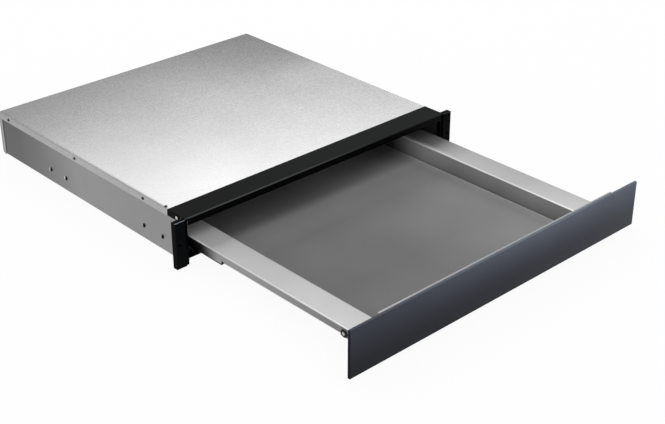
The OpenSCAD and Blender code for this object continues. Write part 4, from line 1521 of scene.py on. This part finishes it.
@dataclass
class PushLatch:
    """The push-to-open latch on the rear panel: body, plunger, rubber tip and spring."""

    height: float = 22.5
    plunger_span: tuple[float, float] = (464.0, 495.1)
    plunger_r: float = 5.0
    plunger_rim: float = 0.3
    tip_r: float = 4.0
    tip_face: float = 0.8
    tip_soft: float = 0.1
    tip_foot: float = 4.8
    tip_l: float = 2.0
    spring_end: float = 509.4
    wire: float = 0.9
    turns: int = 7
    steps: int = 28
    wire_sides: int = 12
    coil: float = 4.1
    travel: float = 8.0
    case_edge: Edge = Edge(width=0.4, segments=3, angle=60)

    def build(self) -> None:
        """Makes the latch's pieces."""
        add_piece("latch_case", softened_copy("latch_body"), GREY_MOULDED, "housing",
                  ["latch_body"], self.case_edge)
        dress_nodes(ZINC, "latch_rivets")
        start, stop = self.plunger_span
        r, rim, long = self.plunger_r, self.plunger_rim, stop - start
        rod = lathe([POLE, r - rim, r, r, r - rim, POLE], [0, 0, rim, long - rim, long, long])
        tip = lathe([POLE, self.tip_face * self.tip_r, self.tip_r - self.tip_soft,
                     self.tip_r, self.tip_foot, POLE],
                    [-self.tip_l, -self.tip_l, rim - self.tip_l, 2 * rim - self.tip_l, 0, 0])
        for name, rings, finish, node in (("plunger_rod", rod, GREY_MOULDED, "latch_plunger"),
                                          ("plunger_tip", tip, BLACK_MOULDED, "latch_tip")):
            flat = Facing.BACK.turn(rings.reshape(-1, 3), (0, PLAN.y(start), self.height))
            mesh = write_mesh(name, [loft(flat.reshape(rings.shape))])
            add_piece(name, mesh, finish, "plunger", [node])
        self.spring()

    def spring(self) -> None:
        """Return spring, a round wire on a helix about Y.

        With a once round for each turn and b round the wire, a point stands coil + w cos b
        from the axis at angle a, at the helix's advance plus w sin b, w the wire's radius.
        The advance is even from the first turn to the last.
        """
        w = self.wire / 2
        begin, end = self.plunger_span[1] + w, self.spring_end - w
        s = np.linspace(0, 1, self.turns * self.steps + 1)[:, None]
        b = (np.arange(self.wire_sides) * TURN / self.wire_sides)[None, :]
        a = s * self.turns * TURN
        radial = self.coil + w * np.cos(b)
        depth = begin + (end - begin) * s + w * np.sin(b)
        rings = np.stack([radial * np.cos(a), PLAN.y(depth), self.height + radial * np.sin(a)],
                         -1)
        piece = add_piece("return_spring", write_mesh("return_spring", [loft(rings)]),
                          SPRING, "housing", ["latch_spring"])
        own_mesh(piece)


# Studio


@dataclass
class Studio:
    """Plain pale floor, soft light and the camera at the photograph's place."""

    floor_half: float = 9.0
    floor_tone: float = 0.86
    floor_rough: float = 0.9
    floor_gloss: float = 0.1
    floor_white: float = 0.93
    sky_slope: tuple[float, float, float] = (-0.05, -0.35, 1.0)
    sky_rise: tuple[float, float] = (0.07, 0.18)
    left_rise: tuple[float, float] = (0.3, -0.2)
    sky_tones: tuple[float, float] = (0.18, 1.03)
    key_place: tuple[float, float, float] = (1.55, 1.75, 2.2)
    key_size: tuple[float, float] = (2.6, 1.3)
    key_watts: float = 12.0
    aim: float = -0.18
    eye: tuple[float, float, float] = (-1.23553, -1.60508, 0.98052)
    heading: float = 47.100
    dip: float = 28.459
    lens: float = 71.412
    sensor: float = 36.0

    def build(self) -> None:
        """Makes the floor, the light, the world and the camera."""
        self.floor()
        self.world()
        self.key()
        self.camera()

    def floor(self) -> None:
        """A pale floor, shown white to the camera and in reflections, with a soft shadow."""
        h = self.floor_half
        mesh = bpy.data.meshes.new("floor")
        mesh.from_pydata([(-h, -h, 0), (h, -h, 0), (h, h, 0), (-h, h, 0)], [], [(0, 1, 2, 3)])
        floor = bpy.data.objects.new("floor", mesh)
        bpy.context.scene.collection.objects.link(floor)
        board = Board("pale_floor")
        tree, shader = board.tree, board.shader
        shader.inputs["Base Color"].default_value = (self.floor_tone,) * 3 + (1,)
        shader.inputs["Roughness"].default_value = self.floor_rough
        shader.inputs["Specular IOR Level"].default_value = self.floor_gloss
        glow = board.add("ShaderNodeEmission", Strength=1.0)
        path = board.add("ShaderNodeLightPath").outputs
        seen = board.math("MAXIMUM", path["Is Camera Ray"],
                          board.math("MAXIMUM", path["Is Glossy Ray"],
                                     path["Is Transmission Ray"]))
        mix = board.add("ShaderNodeMixShader")
        tree.links.new(board.math("MULTIPLY", seen, self.floor_white), mix.inputs[0])
        tree.links.new(shader.outputs[0], mix.inputs[1])
        tree.links.new(glow.outputs[0], mix.inputs[2])
        tree.links.new(mix.outputs[0], tree.nodes["Material Output"].inputs[0])
        mesh.materials.append(board.material)

    def world(self) -> None:
        """A pale sky, bright above and darker towards the horizon behind the object.

        Its strength follows z - 0.35 y - 0.05 x of the direction, held beyond both ends,
        and is never less than a second slope gives that brightens it towards the left.
        """
        world = bpy.data.worlds.new("pale_studio")
        world.use_nodes = True
        bpy.context.scene.world = world
        tree = world.node_tree
        back = tree.nodes["Background"]
        place = tree.nodes.new("ShaderNodeTexCoord")
        parts = tree.nodes.new("ShaderNodeSeparateXYZ")
        tree.links.new(place.outputs["Generated"], parts.inputs[0])
        slope = tree.nodes.new("ShaderNodeVectorMath")
        slope.operation = "DOT_PRODUCT"
        slope.inputs[1].default_value = self.sky_slope
        tree.links.new(place.outputs["Generated"], slope.inputs[0])
        brightest = tree.nodes.new("ShaderNodeMath")
        brightest.operation = "MAXIMUM"
        slopes = ((slope.outputs["Value"], self.sky_rise), (parts.outputs[0], self.left_rise))
        for number, (value, (start, stop)) in enumerate(slopes):
            rise = tree.nodes.new("ShaderNodeMapRange")
            tree.links.new(value, rise.inputs["Value"])
            rise.inputs["From Min"].default_value = start
            rise.inputs["From Max"].default_value = stop
            rise.inputs["To Min"].default_value = self.sky_tones[0]
            rise.inputs["To Max"].default_value = self.sky_tones[1]
            tree.links.new(rise.outputs[0], brightest.inputs[number])
        tree.links.new(brightest.outputs[0], back.inputs["Strength"])
        back.inputs["Color"].default_value = (1, 1, 1, 1)

    def key(self) -> None:
        """A rectangular softbox at the right rear that faces the middle of the object."""
        light = bpy.data.lights.new("key", "AREA")
        light.shape = "RECTANGLE"
        light.size, light.size_y = self.key_size
        light.energy = self.key_watts
        lamp = bpy.data.objects.new("key", light)
        bpy.context.scene.collection.objects.link(lamp)
        x, y, z = self.key_place
        lamp.location = self.key_place
        y -= self.aim
        lamp.rotation_euler = (math.atan2(math.hypot(x, y), z), 0, math.atan2(y, x) + QUARTER)

    def camera(self) -> None:
        """The camera, found by fitting the housing's and panel's edges in the photograph."""
        lens = bpy.data.cameras.new("photo_camera")
        lens.lens = self.lens
        lens.sensor_width = self.sensor
        camera = bpy.data.objects.new("photo_camera", lens)
        bpy.context.scene.collection.objects.link(camera)
        camera.location = self.eye
        camera.rotation_euler = (math.radians(90 - self.dip), 0,
                                 math.radians(self.heading - 90))
        bpy.context.scene.camera = camera


def main() -> None:
    """Builds the object sub-assembly by sub-assembly, then the studio."""
    logging.basicConfig(level=logging.INFO, format="%(message)s")
    for part in (Housing(), FrontFrame(), Slides(), Tray(), Front(), PushLatch(), Studio()):
        log.info("building %s", type(part).__name__)
        part.build()
    view = bpy.context.scene.view_settings
    view.view_transform = "Standard"


if __name__ == "__main__":
    main()
